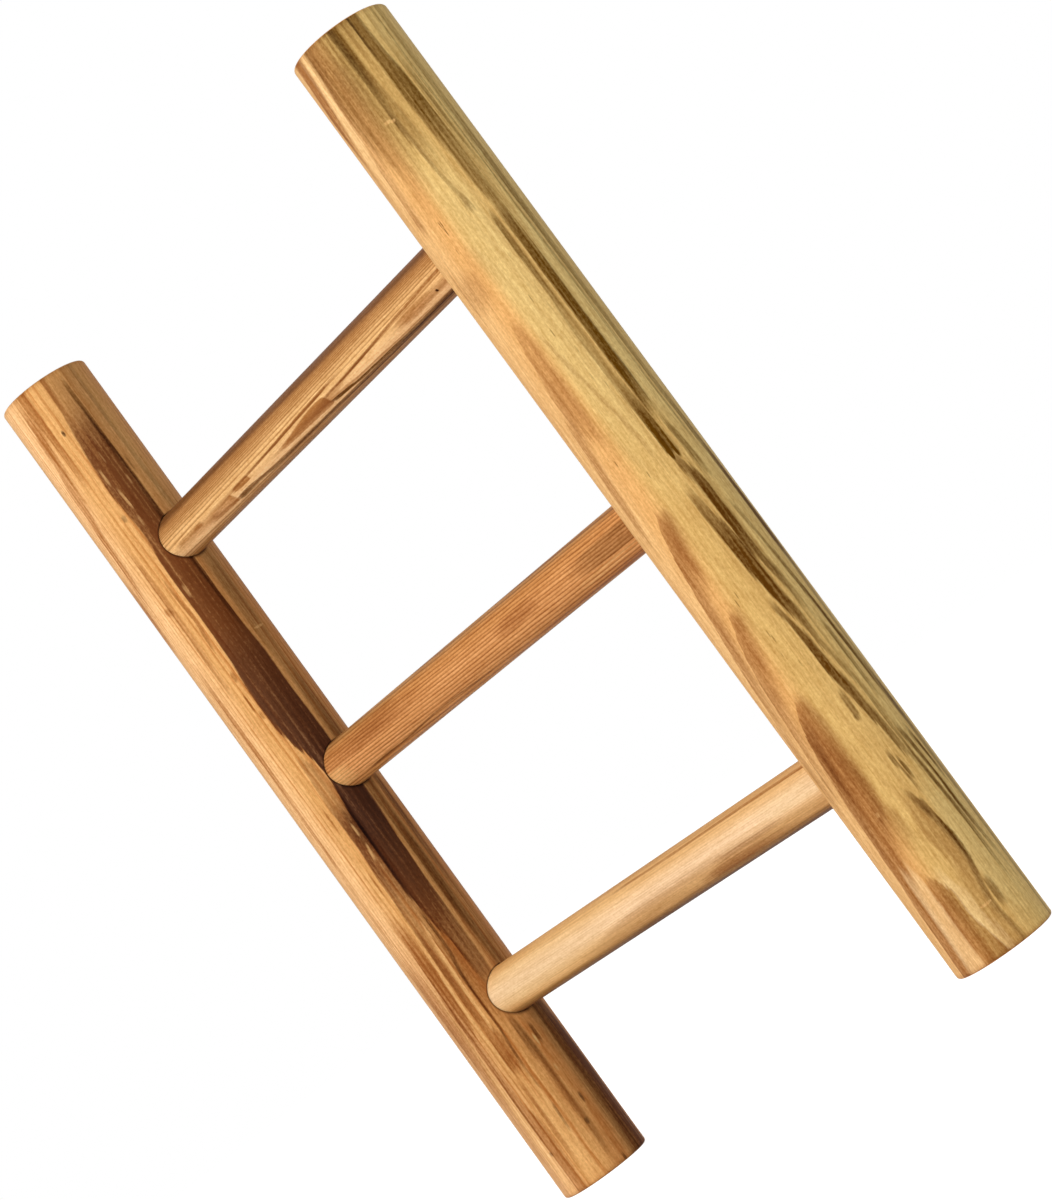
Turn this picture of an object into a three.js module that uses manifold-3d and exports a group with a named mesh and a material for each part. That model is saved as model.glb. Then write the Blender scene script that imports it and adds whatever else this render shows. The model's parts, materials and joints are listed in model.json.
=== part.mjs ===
// A towel ladder: two round wooden poles joined by three round rungs, glued into blind bores without any fastener.
// Millimetres. X runs across from pole to pole, Y to the back and Z up. The origin is on the floor, midway between the poles.
import * as THREE from "three";
import { mergeVertices, toCreasedNormals } from "three/addons/utils/BufferGeometryUtils.js";
import Module from "manifold-3d";

// Driving dimensions of the poles
const poleLength = 492;
const poleDiameter = 50;
const poleSpacing = 320; // from axis to axis
const poleRimRadius = 1.5; // sanded round the rim of each square-cut end

// Driving dimensions of the rungs
const rungDiameter = 26;
const bottomRungHeight = 103; // from the floor to the rung's axis
const middleRungHeight = 243;
const topRungHeight = 386;
const rungEndChamfer = 1.5; // leads the dowel into its bore

// Driving dimensions of the joints
const boreDepth = 30; // from the line of the pole's inner side to the flat bottom
const glueGap = 0.3; // round the dowel, and between its end and the bottom of the bore
const bitPointDiameter = 4; // the mark that the bit's centre point leaves in the bottom
const bitPointDepth = 1.5;
const boreOverrun = 2; // how far the cutting tool stands out of the pole

// Fineness of the round surfaces
const poleSides = 72;
const rungSides = 48;
const rimSteps = 2; // pairs of facets round the rim
const creaseAngle = THREE.MathUtils.degToRad(30);

// Sizes that follow from these
const poleRadius = poleDiameter / 2;
const rungRadius = rungDiameter / 2;
const boreRadius = rungRadius + glueGap;
const boreBottomFromAxis = poleRadius - boreDepth; // towards the other pole, so it is negative past the axis
const rungHalfLength = poleSpacing / 2 - boreBottomFromAxis - glueGap;

const wasm = await Module();
wasm.setup();

// A closed geometry as a solid that can be cut
function solidFrom(geometry) {
  const bare = geometry.clone();
  bare.deleteAttribute("normal");
  bare.deleteAttribute("uv");
  const merged = mergeVertices(bare);
  return new wasm.Manifold(
    new wasm.Mesh({
      numProp: 3,
      vertProperties: new Float32Array(merged.attributes.position.array),
      triVerts: new Uint32Array(merged.index.array),
    }),
  );
}

// A solid as a geometry with sharp edges where the faces turn by more than the crease angle
function geometryFrom(solid) {
  const mesh = solid.getMesh();
  const geometry = new THREE.BufferGeometry();
  geometry.setAttribute("position", new THREE.BufferAttribute(mesh.vertProperties, mesh.numProp));
  geometry.setIndex(new THREE.BufferAttribute(mesh.triVerts, 1));
  return toCreasedNormals(geometry, creaseAngle);
}

// The pole standing on the floor with its rims sanded round
function poleBlank() {
  const rimAxis = poleRadius - poleRimRadius;
  const profile = new THREE.Path();
  profile.moveTo(0, 0);
  profile.lineTo(rimAxis, 0);
  profile.absarc(rimAxis, poleRimRadius, poleRimRadius, -Math.PI / 2, 0);
  profile.lineTo(poleRadius, poleLength - poleRimRadius);
  profile.absarc(rimAxis, poleLength - poleRimRadius, poleRimRadius, 0, Math.PI / 2);
  profile.lineTo(0, poleLength);
  return new THREE.LatheGeometry(profile.getPoints(rimSteps), poleSides).rotateX(Math.PI / 2);
}

// What the bit takes out of a pole on the given side of the ladder, -1 for left and 1 for right, at one height
function boreCutter(side, height) {
  const profile = [
    new THREE.Vector2(0, boreBottomFromAxis - bitPointDepth),
    new THREE.Vector2(bitPointDiameter / 2, boreBottomFromAxis),
    new THREE.Vector2(boreRadius, boreBottomFromAxis),
    new THREE.Vector2(boreRadius, poleRadius + boreOverrun),
    new THREE.Vector2(0, poleRadius + boreOverrun),
  ];
  return new THREE.LatheGeometry(profile, rungSides).rotateZ((side * Math.PI) / 2).translate(0, 0, height);
}

// A pole with its three blind bores facing the other pole
function makePole(name, side, material) {
  const bored = [bottomRungHeight, middleRungHeight, topRungHeight].reduce(
    (pole, height) => pole.subtract(solidFrom(boreCutter(side, height))),
    solidFrom(poleBlank()),
  );
  const pole = new THREE.Mesh(geometryFrom(bored), material);
  pole.name = name;
  pole.position.x = (side * poleSpacing) / 2;
  return pole;
}

// A round rung with chamfered ends, lying along X
function makeRung(name, height, material) {
  const profile = [
    new THREE.Vector2(0, -rungHalfLength),
    new THREE.Vector2(rungRadius - rungEndChamfer, -rungHalfLength),
    new THREE.Vector2(rungRadius, -rungHalfLength + rungEndChamfer),
    new THREE.Vector2(rungRadius, rungHalfLength - rungEndChamfer),
    new THREE.Vector2(rungRadius - rungEndChamfer, rungHalfLength),
    new THREE.Vector2(0, rungHalfLength),
  ];
  const dowel = new THREE.LatheGeometry(profile, rungSides).rotateZ(Math.PI / 2);
  const rung = new THREE.Mesh(toCreasedNormals(dowel, creaseAngle), material);
  rung.name = name;
  rung.position.z = height;
  return rung;
}

// Satin-varnished softwood, in each piece's own tone
const varnishedWood = (color) => new THREE.MeshStandardMaterial({ color, roughness: 0.45, metalness: 0 });
const poleWood = { left: varnishedWood(0xb9803f), right: varnishedWood(0xc99c56) };
const rungWood = { bottom: varnishedWood(0xe0a873), middle: varnishedWood(0xc48a55), top: varnishedWood(0xb9824e) };

const poles = new THREE.Group();
poles.add(makePole("rail_left", -1, poleWood.left), makePole("rail_right", 1, poleWood.right));

const rungs = new THREE.Group();
rungs.add(
  makeRung("rung_bottom", bottomRungHeight, rungWood.bottom),
  makeRung("rung_middle", middleRungHeight, rungWood.middle),
  makeRung("rung_top", topRungHeight, rungWood.top),
);

const towelLadder = new THREE.Group();
towelLadder.name = "towel_ladder";
towelLadder.add(poles, rungs);

export default towelLadder;
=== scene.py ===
"""The looks of a towel ladder: two round poles and three round rungs of varnished softwood, in a studio.

Metres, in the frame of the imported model: X runs across from pole to pole, Y to the back and Z up.
Inside the materials a place on a piece is given in millimetres along it and in degrees round it.
Round a pole, 0 degrees faces the front and 90 faces +X. Round a rung, 0 faces the front and 90 faces up.
"""

import json
import logging
import math
import random
from dataclasses import dataclass, field
from enum import Enum

import bmesh
import bpy
from mathutils import Matrix, Vector, noise

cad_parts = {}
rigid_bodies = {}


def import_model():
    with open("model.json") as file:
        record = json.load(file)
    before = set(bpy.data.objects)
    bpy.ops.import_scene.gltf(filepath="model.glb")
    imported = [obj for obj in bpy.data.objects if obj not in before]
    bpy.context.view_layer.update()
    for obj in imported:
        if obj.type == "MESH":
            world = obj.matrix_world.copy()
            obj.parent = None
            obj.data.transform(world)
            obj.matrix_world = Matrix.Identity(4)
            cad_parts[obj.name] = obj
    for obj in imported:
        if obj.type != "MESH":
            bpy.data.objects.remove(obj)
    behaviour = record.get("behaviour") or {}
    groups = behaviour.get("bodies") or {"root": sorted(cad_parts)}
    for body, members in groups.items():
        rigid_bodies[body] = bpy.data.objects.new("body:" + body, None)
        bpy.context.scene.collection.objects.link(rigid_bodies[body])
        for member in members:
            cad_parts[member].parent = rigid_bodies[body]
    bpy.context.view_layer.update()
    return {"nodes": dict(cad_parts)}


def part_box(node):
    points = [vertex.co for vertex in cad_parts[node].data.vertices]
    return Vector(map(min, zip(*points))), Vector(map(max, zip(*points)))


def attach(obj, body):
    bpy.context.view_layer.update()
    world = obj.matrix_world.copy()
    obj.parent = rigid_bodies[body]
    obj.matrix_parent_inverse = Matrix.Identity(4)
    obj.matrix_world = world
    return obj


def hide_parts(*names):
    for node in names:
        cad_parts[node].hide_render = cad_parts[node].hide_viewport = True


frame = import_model()

log = logging.getLogger("towel_ladder")

MM = 0.001
BODY = "root"
RUNG_HEIGHTS = (103.0, 243.0, 386.0)

Socket = bpy.types.NodeSocket
Value = float | tuple[float, ...] | Socket
Triple = tuple[float, float, float]

# The sRGB curve: where its straight foot ends, the foot's slope, and the offset and the power above it.
SRGB_FOOT, SRGB_SLOPE, SRGB_OFFSET, SRGB_POWER = 0.04045, 12.92, 0.055, 2.4

# The sockets of a Mix node that mixes colours.
MIX_FACTOR, MIX_FIRST, MIX_SECOND, MIX_RESULT = 0, 6, 7, 2

# A turn and a half width in degrees are kept as the red and the green of a colour ramp, from 0 to 1.
HALF_TURN, FULL_TURN, WIDEST_HALF = 180.0, 360.0, 90.0

# How the drawn veins meet the fibres: millimetres, a share of the length, a factor and a share.
LONGEST_FRAY, FRAY_SHARE, EDGE_SOFTNESS, PALE_STRENGTH = 11.0, 0.14, 1.7, 0.8

# How many veins one node group holds. Larger groups take Blender much longer to set up.
VEINS_A_GROUP = 8

# Between which values the noises mostly lie.
NOISE_SPAN = (0.25, 0.75)


class Tint(Enum):
    """The sRGB colour of a mark: what it multiplies the tone round it by, or what it turns it into."""

    SHELL = "fbd9a4"
    STRAW = "e8cc88"
    HONEY = "f4c07c"
    SIENNA = "b09278"
    CHESTNUT = "c0a488"
    GINGER = "d0a068"
    OLIVE = "765e12"
    UMBER = "765a20"
    COCOA = "8a7066"
    DUSK = "a2aade"
    BITTER = "503820"

    @property
    def pale(self) -> bool:
        """True where a mark turns the wood into this colour, False where it darkens the wood by it."""
        return self in (Tint.SHELL, Tint.STRAW, Tint.HONEY)


class Wood(Enum):
    """The sRGB tones of the varnished wood itself, from pale to dark."""

    CREAM = "fdd3a4"
    PEACH = "ffca8e"
    APRICOT = "f5c180"
    MAIZE = "e6be74"
    HAY = "deb26a"
    CARAMEL = "e6ac68"
    COPPER = "da9656"
    ROSY = "e29e60"
    TOFFEE = "c48c52"
    NUT = "a67040"


def paint(shade: Tint | Wood) -> tuple[float, ...]:
    """Turns a named sRGB colour into the linear one that a shader reads.

    Args:
        shade: The named colour.

    Returns:
        Red, green, blue and an alpha of 1.
    """
    parts = [part / 255 for part in bytes.fromhex(shade.value)]
    full = 1 + SRGB_OFFSET
    return (*(part / SRGB_SLOPE if part <= SRGB_FOOT else ((part + SRGB_OFFSET) / full) ** SRGB_POWER
              for part in parts), 1.0)


@dataclass(frozen=True)
class Pattern:
    """A cloudy noise: its fineness along each axis, its shift, its finer layers and their weight."""

    fineness: Triple
    shift: Triple = (0.0, 0.0, 0.0)
    detail: float = 2.0
    roughness: float = 0.5


class Graph:
    """A node tree in the making, with short ways to add nodes and join them."""

    def __init__(self, tree: bpy.types.NodeTree) -> None:
        """Takes the tree that the nodes go into."""
        self.tree = tree

    def add(self, kind: str, **settings: object) -> bpy.types.Node:
        """Adds a node.

        Args:
            kind: The node's type.
            **settings: Properties to set on it.

        Returns:
            The new node.
        """
        node = self.tree.nodes.new(kind)
        for name, value in settings.items():
            setattr(node, name, value)
        return node

    def feed(self, socket: Socket, value: Value) -> None:
        """Joins an input to an output, or sets its constant.

        Args:
            socket: The input.
            value: An output socket, or a number or several.
        """
        if isinstance(value, Socket):
            self.tree.links.new(value, socket)
        else:
            socket.default_value = value

    def wire(self, node: bpy.types.Node, **values: Value) -> bpy.types.Node:
        """Feeds a node's inputs by their names.

        Args:
            node: The node.
            **values: What goes into the inputs, by name with underscores for spaces.

        Returns:
            The same node.
        """
        for name, value in values.items():
            self.feed(node.inputs[name.replace("_", " ")], value)
        return node

    def math(self, operation: str, *values: Value, clamp: bool = False) -> Socket:
        """Adds one step of arithmetic.

        Args:
            operation: The name of the operation.
            *values: What it works on, one to three.
            clamp: True to keep the result from 0 to 1.

        Returns:
            The result's socket.
        """
        node = self.add("ShaderNodeMath", operation=operation, use_clamp=clamp)
        for socket, value in zip(node.inputs, values):
            self.feed(socket, value)
        return node.outputs[0]

    def plus(self, first: Value, second: Value) -> Socket:
        """Adds two numbers."""
        return self.math("ADD", first, second)

    def minus(self, first: Value, second: Value) -> Socket:
        """Takes the second number from the first."""
        return self.math("SUBTRACT", first, second)

    def times(self, first: Value, second: Value, clamp: bool = False) -> Socket:
        """Multiplies two numbers, and keeps the product from 0 to 1 where clamp is True."""
        return self.math("MULTIPLY", first, second, clamp=clamp)

    def times_plus(self, first: Value, second: Value, third: Value, clamp: bool = False) -> Socket:
        """Multiplies two numbers and adds a third, and keeps the sum from 0 to 1 where clamp is True."""
        return self.math("MULTIPLY_ADD", first, second, third, clamp=clamp)

    def swing(self, value: Value) -> Socket:
        """Shifts a noise of values round 0.5 so that it swings round 0."""
        return self.minus(value, 0.5)

    def distance(self, first: Value, second: Value) -> Socket:
        """Gives the length of the way that two steps at a right angle make."""
        return self.math("SQRT", self.plus(self.times(first, first), self.times(second, second)))

    def scaled(self, value: Value, low: Value, high: Value, to_low: Value = 0.0, to_high: Value = 1.0,
               smooth: bool = True) -> Socket:
        """Maps a value from one range to another and holds it at the ends.

        Args:
            value: What is mapped.
            low: Where the range starts.
            high: Where the range ends.
            to_low: The result at the start.
            to_high: The result at the end.
            smooth: True for an S-shaped passage, False for a straight one.

        Returns:
            The result's socket.
        """
        node = self.add("ShaderNodeMapRange", interpolation_type="SMOOTHSTEP" if smooth else "LINEAR")
        for socket, item in zip(node.inputs, (value, low, high, to_low, to_high)):
            self.feed(socket, item)
        return node.outputs[0]

    def blend(self, factor: Value, first: Value, second: Value, kind: str = "MIX") -> Socket:
        """Mixes two colours.

        Args:
            factor: The second colour's share.
            first: The colour underneath.
            second: The colour on top.
            kind: How the second colour acts on the first.

        Returns:
            The mixed colour's socket.
        """
        node = self.add("ShaderNodeMix", data_type="RGBA", blend_type=kind, clamp_factor=True)
        for index, item in ((MIX_FACTOR, factor), (MIX_FIRST, first), (MIX_SECOND, second)):
            self.feed(node.inputs[index], item)
        return node.outputs[MIX_RESULT]

    def stain(self, colour: Value, tint: Tint, mask: Value, share: float = 1.0) -> Socket:
        """Darkens a colour by a share of a tint inside a mask."""
        return self.blend(self.times(mask, share), colour, paint(tint), "MULTIPLY")

    def ramp(self, value: Value, interpolation: str, stops: list[tuple[float, tuple[float, ...]]]) -> Socket:
        """Reads a colour ramp.

        Args:
            value: Where it is read, from 0 to 1.
            interpolation: How the colours pass into each other.
            stops: The place and the colour of each stop.

        Returns:
            The colour's socket.
        """
        node = self.add("ShaderNodeValToRGB")
        node.color_ramp.interpolation = interpolation
        elements = node.color_ramp.elements
        while len(elements) < len(stops):
            elements.new(0.5)
        for element, (position, colour) in zip(elements, stops):
            element.position, element.color = position, colour
        self.feed(node.inputs[0], value)
        return node.outputs[0]

    def stretch(self, place: Value, scale: Triple, shift: Triple = (0.0, 0.0, 0.0)) -> Socket:
        """Scales a place and then shifts it."""
        return self.wire(self.add("ShaderNodeMapping"), Vector=place, Scale=scale, Location=shift).outputs[0]

    def noise(self, place: Value, pattern: Pattern, scale: Value = 1.0) -> Socket:
        """Adds a cloudy noise of values round 0.5.

        Args:
            place: Where it is read.
            pattern: How it is drawn out and layered.
            scale: Its fineness on top of the pattern's.

        Returns:
            The noise value's socket.
        """
        node = self.add("ShaderNodeTexNoise")
        self.wire(node, Vector=self.stretch(place, pattern.fineness, pattern.shift), Scale=scale,
                  Detail=pattern.detail, Roughness=pattern.roughness)
        return node.outputs[0]

    def split(self, place: Value) -> tuple[Socket, ...]:
        """Takes a place apart into its three numbers."""
        return tuple(self.wire(self.add("ShaderNodeSeparateXYZ"), Vector=place).outputs)

    def join(self, x: Value, y: Value, z: Value) -> Socket:
        """Puts three numbers together into a place."""
        return self.wire(self.add("ShaderNodeCombineXYZ"), X=x, Y=y, Z=z).outputs[0]


class Effect:
    """A shader node group that finishes share. It is built once and placed with each finish's own values."""

    title = ""

    def __init__(self) -> None:
        """Builds the group's tree."""
        self.tree = bpy.data.node_groups.new(self.title, "ShaderNodeTree")
        self.graph = Graph(self.tree)
        self.entry = self.graph.add("NodeGroupInput")
        self.exit = self.graph.add("NodeGroupOutput")
        self.build()

    def build(self) -> None:
        """Fills the tree; each effect has its own way."""
        raise NotImplementedError

    def takes(self, *names: str, kind: str = "Float") -> list[Socket]:
        """Adds inputs of one kind to the group.

        Args:
            *names: Their names.
            kind: What they carry.

        Returns:
            Their sockets inside the group.
        """
        for name in names:
            self.tree.interface.new_socket(name=name, in_out="INPUT", socket_type="NodeSocket" + kind)
        return [self.entry.outputs[name] for name in names]

    def gives(self, kind: str = "Float", **values: Socket) -> None:
        """Adds outputs of one kind to the group.

        Args:
            kind: What they carry.
            **values: What each puts out, by its name.
        """
        for name, value in values.items():
            self.tree.interface.new_socket(name=name, in_out="OUTPUT", socket_type="NodeSocket" + kind)
            self.graph.feed(self.exit.inputs[name], value)

    def place(self, graph: Graph, **values: Value) -> bpy.types.NodeOutputs:
        """Puts the group into a material.

        Args:
            graph: The material's nodes.
            **values: What goes into the inputs, by name with underscores for spaces.

        Returns:
            The group node's outputs.
        """
        return graph.wire(graph.add("ShaderNodeGroup", node_tree=self.tree), **values).outputs


class Bearings(Effect):
    """Where a point lies on a round bar: degrees round it, and millimetres along it and from its axis."""

    title = "Bearings on a bar"

    def build(self) -> None:
        """Reads the polar place from the bar's own axes."""
        g = self.graph
        side, front, along = g.split(*self.takes("Place", kind="Vector"))
        turn = g.math("DEGREES", g.math("ARCTAN2", side, front))
        self.gives(Turn=turn, Along=along, Reach=g.distance(side, front))


class GrowthRings(Effect):
    """The yearly rings of the trunk that the bar was sawn from, as solid wood."""

    title = "Growth rings"
    slow = Pattern((0.05, 0.05, 0.011), detail=1.0)
    quick = Pattern((0.22, 0.22, 0.05), (7.0, 3.0, 1.0), detail=1.0)
    quick_share = 0.35
    year_fineness = 0.31
    year_detail = 1.0

    def build(self) -> None:
        """Measures the distance from the pith, which leans against the bar, and counts rings in it."""
        g = self.graph
        (place,) = self.takes("Place", kind="Vector")
        turn, distance, lean, width, waver, uneven = self.takes(
            "Pith Turn", "Pith Distance", "Lean", "Ring Width", "Waver", "Unevenness")
        turn = g.math("RADIANS", turn)
        side, front, along = g.split(place)
        away = g.times_plus(along, lean, distance)
        across = g.minus(side, g.times(away, g.math("SINE", turn)))
        ahead = g.minus(front, g.times(away, g.math("COSINE", turn)))
        slow, quick = (g.swing(g.noise(place, pattern)) for pattern in (self.slow, self.quick))
        bent = g.times_plus(g.times_plus(quick, self.quick_share, slow), waver, g.distance(across, ahead))
        years = g.wire(g.add("ShaderNodeTexNoise", noise_dimensions="1D"), W=bent, Scale=self.year_fineness,
                       Detail=self.year_detail)
        count = g.math("DIVIDE", g.times_plus(g.swing(years.outputs[0]), uneven, bent), width)
        self.gives(Ring=g.math("FLOOR", count), Age=g.math("FRACT", count))


class LateWood(Effect):
    """The dark wood that ends each ring: it comes in slowly and stops crisply, stronger in some years."""

    title = "Late wood"
    patches = Pattern((0.3, 0.3, 0.03), (5.0, 2.0, 9.0))
    patch_span = (0.36, 0.6)

    def build(self) -> None:
        """Shapes one ring's darkness and gives each ring its own strength."""
        g = self.graph
        (place,) = self.takes("Place", kind="Vector")
        ring, age, onset, crisp, contrast, gap = self.takes(
            "Ring", "Age", "Onset", "Crispness", "Contrast", "Break Up")
        peak = g.minus(1.0, crisp)
        shape = g.times(g.scaled(age, onset, peak), g.scaled(age, peak, 1.0, 1.0, 0.0))
        year = g.wire(g.add("ShaderNodeTexWhiteNoise", noise_dimensions="1D"), W=ring).outputs[0]
        strength = g.minus(1.0, g.times(contrast, year))
        patch = g.scaled(g.noise(place, self.patches), *self.patch_span, g.minus(1.0, gap), 1.0)
        self.gives(Mask=g.times(shape, g.times(strength, patch)))


class Vein(Effect):
    """A stripe that follows a course along the bar, with its own softness at each edge."""

    title = "Vein"

    def build(self) -> None:
        """Compares the turn with the course, which holds the middle, the half width and the strength."""
        g = self.graph
        middle, half, strength = g.split(*self.takes("Course", kind="Vector"))
        turn, low, high = self.takes("Turn", "Low Softness", "High Softness")
        off = g.minus(turn, g.times_plus(middle, FULL_TURN, -HALF_TURN))
        last = g.times(half, WIDEST_HALF)
        first = g.times(last, -1.0)
        inside = g.times(g.scaled(off, g.minus(first, low), first),
                         g.scaled(off, last, g.plus(last, high), 1.0, 0.0))
        self.gives(Mask=g.times(inside, strength, clamp=True))


class Fibre(Effect):
    """The lengthwise fibres: fine hair lines, broader soft stripes, and the mottle of short grain."""

    title = "Fibre"
    hair = Pattern((1.0, 1.0, 0.065), detail=4.0, roughness=0.65)
    stripe = Pattern((0.5, 0.5, 0.012), (3.0, 9.0, 5.0))
    mottle = Pattern((0.95, 0.95, 0.5), (6.0, 1.0, 3.0), roughness=0.65)
    cloud = Pattern((0.06, 0.06, 0.02), (4.0, 2.0, 7.0))

    def build(self) -> None:
        """Reads noises that are drawn out along the bar."""
        g = self.graph
        (place,) = self.takes("Place", kind="Vector")
        (fineness,) = self.takes("Fineness")
        self.gives(Hair=g.noise(place, self.hair, fineness), Stripe=g.noise(place, self.stripe, fineness),
                   Mottle=g.noise(place, self.mottle, fineness), Cloud=g.noise(place, self.cloud))


class ResinDashes(Effect):
    """Short dark dashes of resin canals that the surface has opened."""

    title = "Resin dashes"
    cell_fineness = (0.62, 0.62, 0.085)
    patches = Pattern((0.05, 0.05, 0.01), (2.0, 8.0, 4.0), detail=1.0)
    patch_span = (0.42, 0.62)

    def build(self) -> None:
        """Marks the neighbourhood of scattered points, drawn out along the bar."""
        g = self.graph
        (place,) = self.takes("Place", kind="Vector")
        (size,) = self.takes("Size")
        cells = g.wire(g.add("ShaderNodeTexVoronoi"), Vector=g.stretch(place, self.cell_fineness), Scale=1.0)
        near = g.scaled(cells.outputs["Distance"], g.times(size, 0.5), size, 1.0, 0.0)
        patch = g.scaled(g.noise(place, self.patches), *self.patch_span)
        self.gives(Mask=g.times(near, patch), Everywhere=near)


class EndShade(Effect):
    """The thirsty end grain, and a darker band on the outer wood close to each end, in millimetres from the
    end.
    """

    title = "End shade"
    face_depth = (0.2, 0.7)
    rim_depth = (0.5, 3.2)
    rim_width = 2.5

    def build(self) -> None:
        """Marks the end faces and, more softly, the wood close to them."""
        g = self.graph
        along, reach, low, high, radius = self.takes("Along", "Reach", "Low End", "High End", "Radius")
        near = g.math("MINIMUM", g.minus(along, low), g.minus(high, along))
        face, rim = (g.scaled(near, *depth, 1.0, 0.0) for depth in (self.face_depth, self.rim_depth))
        outer = g.scaled(reach, g.minus(radius, self.rim_width), radius)
        self.gives(Face=face, Rim=g.times(rim, outer))


class JointShade(Effect):
    """The dark joint line where a rung enters a pole, with painted shade of the gap round the rung, widest
    under the rung where its shadow falls.
    """

    title = "Joint shade"
    inner_side = (5.0, 12.0)

    def build(self) -> None:
        """Marks the wood close to the mouth of a bore."""
        g = self.graph
        side, front, along = g.split(*self.takes("Place", kind="Vector"))
        height, radius, spread, facing = self.takes("Height", "Radius", "Spread", "Facing")
        rise = g.minus(along, height)
        # Painted shade: the ring widens under the rung, where the shadow falls into the gap.
        below = g.scaled(rise, g.times(radius, -1.0), 0.0, 1.0, 0.0)
        wide = g.times(spread, g.plus(below, 1.0))
        ring = g.scaled(g.minus(g.distance(rise, front), radius), 0.0, wide, 1.0, 0.0)
        self.gives(Mask=g.times(ring, g.scaled(g.times(side, facing), *self.inner_side)))


class Varnish(Effect):
    """A brushed satin varnish that sinks a little into the soft early wood."""

    title = "Satin varnish"
    patches = Pattern((0.09, 0.09, 0.03), detail=3.0, roughness=0.6)
    swell = Pattern((0.16, 0.16, 0.02), (1.0, 5.0, 2.0), detail=1.0)
    patch_roughness = 0.22
    hair_roughness = 0.16
    late_roughness = -0.06
    swell_height = 2.0
    hair_height = 0.5
    late_height = 0.8

    def build(self) -> None:
        """Gives a roughness that varies in patches and a height for the bump."""
        g = self.graph
        (place,) = self.takes("Place", kind="Vector")
        hair, late, gloss, relief = self.takes("Hair", "Late", "Gloss Roughness", "Relief")
        rough = g.times_plus(g.swing(g.noise(place, self.patches)), self.patch_roughness, gloss)
        rough = g.times_plus(g.swing(hair), self.hair_roughness, rough)
        height = g.plus(g.times(hair, self.hair_height), g.times(late, self.late_height))
        height = g.times_plus(g.noise(place, self.swell), self.swell_height, g.times(height, relief))
        self.gives(Roughness=g.times_plus(late, self.late_roughness, rough, clamp=True), Height=height)


@dataclass(frozen=True)
class Bar:
    """Which way a piece lies, so that its finish can be read along it and round it."""

    centre: Triple
    lies_across: bool
    radius: float
    low_end: float
    high_end: float


@dataclass(frozen=True)
class Course:
    """A vein's way in stops of millimetres along, degrees round, degrees of half width, percent of strength."""

    stops: tuple[tuple[float, float, float, float], ...]
    tint: Tint = Tint.CHESTNUT
    low_soft: float = 3.0
    high_soft: float = 3.0


@dataclass(frozen=True)
class RingFigure:
    """How the trunk's rings lie in a piece, in degrees and millimetres."""

    pith_turn: float
    pith_distance: float
    lean: float
    ring_width: float
    waver: float = 1.2
    unevenness: float = 0.6


@dataclass(frozen=True)
class WoodFinish:
    """Everything that makes one piece's varnished wood."""

    slot: str
    tones: tuple[tuple[float, Wood], ...]
    rings: RingFigure
    late_tint: Tint
    late_strength: float
    onset: float = 0.35
    crispness: float = 0.12
    contrast: float = 0.6
    fineness: float = 1.1
    break_up: float = 0.5
    hair_strength: float = 0.24
    stripe_strength: float = 0.1
    mottle_strength: float = 0.19
    cloud_strength: float = 0.05
    feather: float = 2.4
    courses: tuple[Course, ...] = ()
    dash_strength: float = 0.5
    dash_zones: tuple[Course, ...] = ()
    end_tint: Tint = Tint.SIENNA
    end_wood: Wood = Wood.TOFFEE
    gloss_roughness: float = 0.5
    relief: float = 0.6
    joint_heights: tuple[float, ...] = ()
    joint_facing: float = 0.0


def course_mask(g: Graph, vein: Vein, along: Value, turn: Value, course: Course) -> Socket:
    """Draws one vein.

    Args:
        g: The nodes that it goes into.
        vein: The shared effect.
        along: The millimetres along the bar.
        turn: The degrees round the bar.
        course: The vein's way and edges.

    Returns:
        The socket of its mask.
    """
    first, last = course.stops[0][0], course.stops[-1][0]
    stops = [((reach - first) / (last - first),
              ((degrees + HALF_TURN) / FULL_TURN, half / WIDEST_HALF, strength / 100, 1.0))
             for reach, degrees, half, strength in course.stops]
    way = g.ramp(g.scaled(along, first, last, smooth=False), "CARDINAL", stops)
    return vein.place(g, Turn=turn, Course=way, Low_Softness=course.low_soft * EDGE_SOFTNESS,
                      High_Softness=course.high_soft * EDGE_SOFTNESS)["Mask"]


class DrawnVeins(Effect):
    """A few drawn veins of one finish, laid one after another over the colour underneath."""

    title = "Drawn veins"

    def __init__(self, vein: Vein, courses: tuple[Course, ...]) -> None:
        """Takes the shared effect and the veins, then builds the group's tree."""
        self.vein = vein
        self.courses = courses
        super().__init__()

    def build(self) -> None:
        """Tints the colour where each vein runs; the fibres fray its ends and vary its strength."""
        g = self.graph
        (colour,) = self.takes("Colour", kind="Color")
        along, turn, ragged, grainy = self.takes("Along", "Turn", "Ragged", "Grainy")
        for course in self.courses:
            pale = course.tint.pale
            fray = min(LONGEST_FRAY, FRAY_SHARE * abs(course.stops[-1][0] - course.stops[0][0]))
            mask = course_mask(g, self.vein, g.times_plus(ragged, fray, along), turn, course)
            mask = g.times(mask, PALE_STRENGTH if pale else grainy, clamp=True)
            colour = g.blend(mask, colour, paint(course.tint), "MIX" if pale else "MULTIPLY")
        self.gives("Color", Colour=colour)


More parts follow.
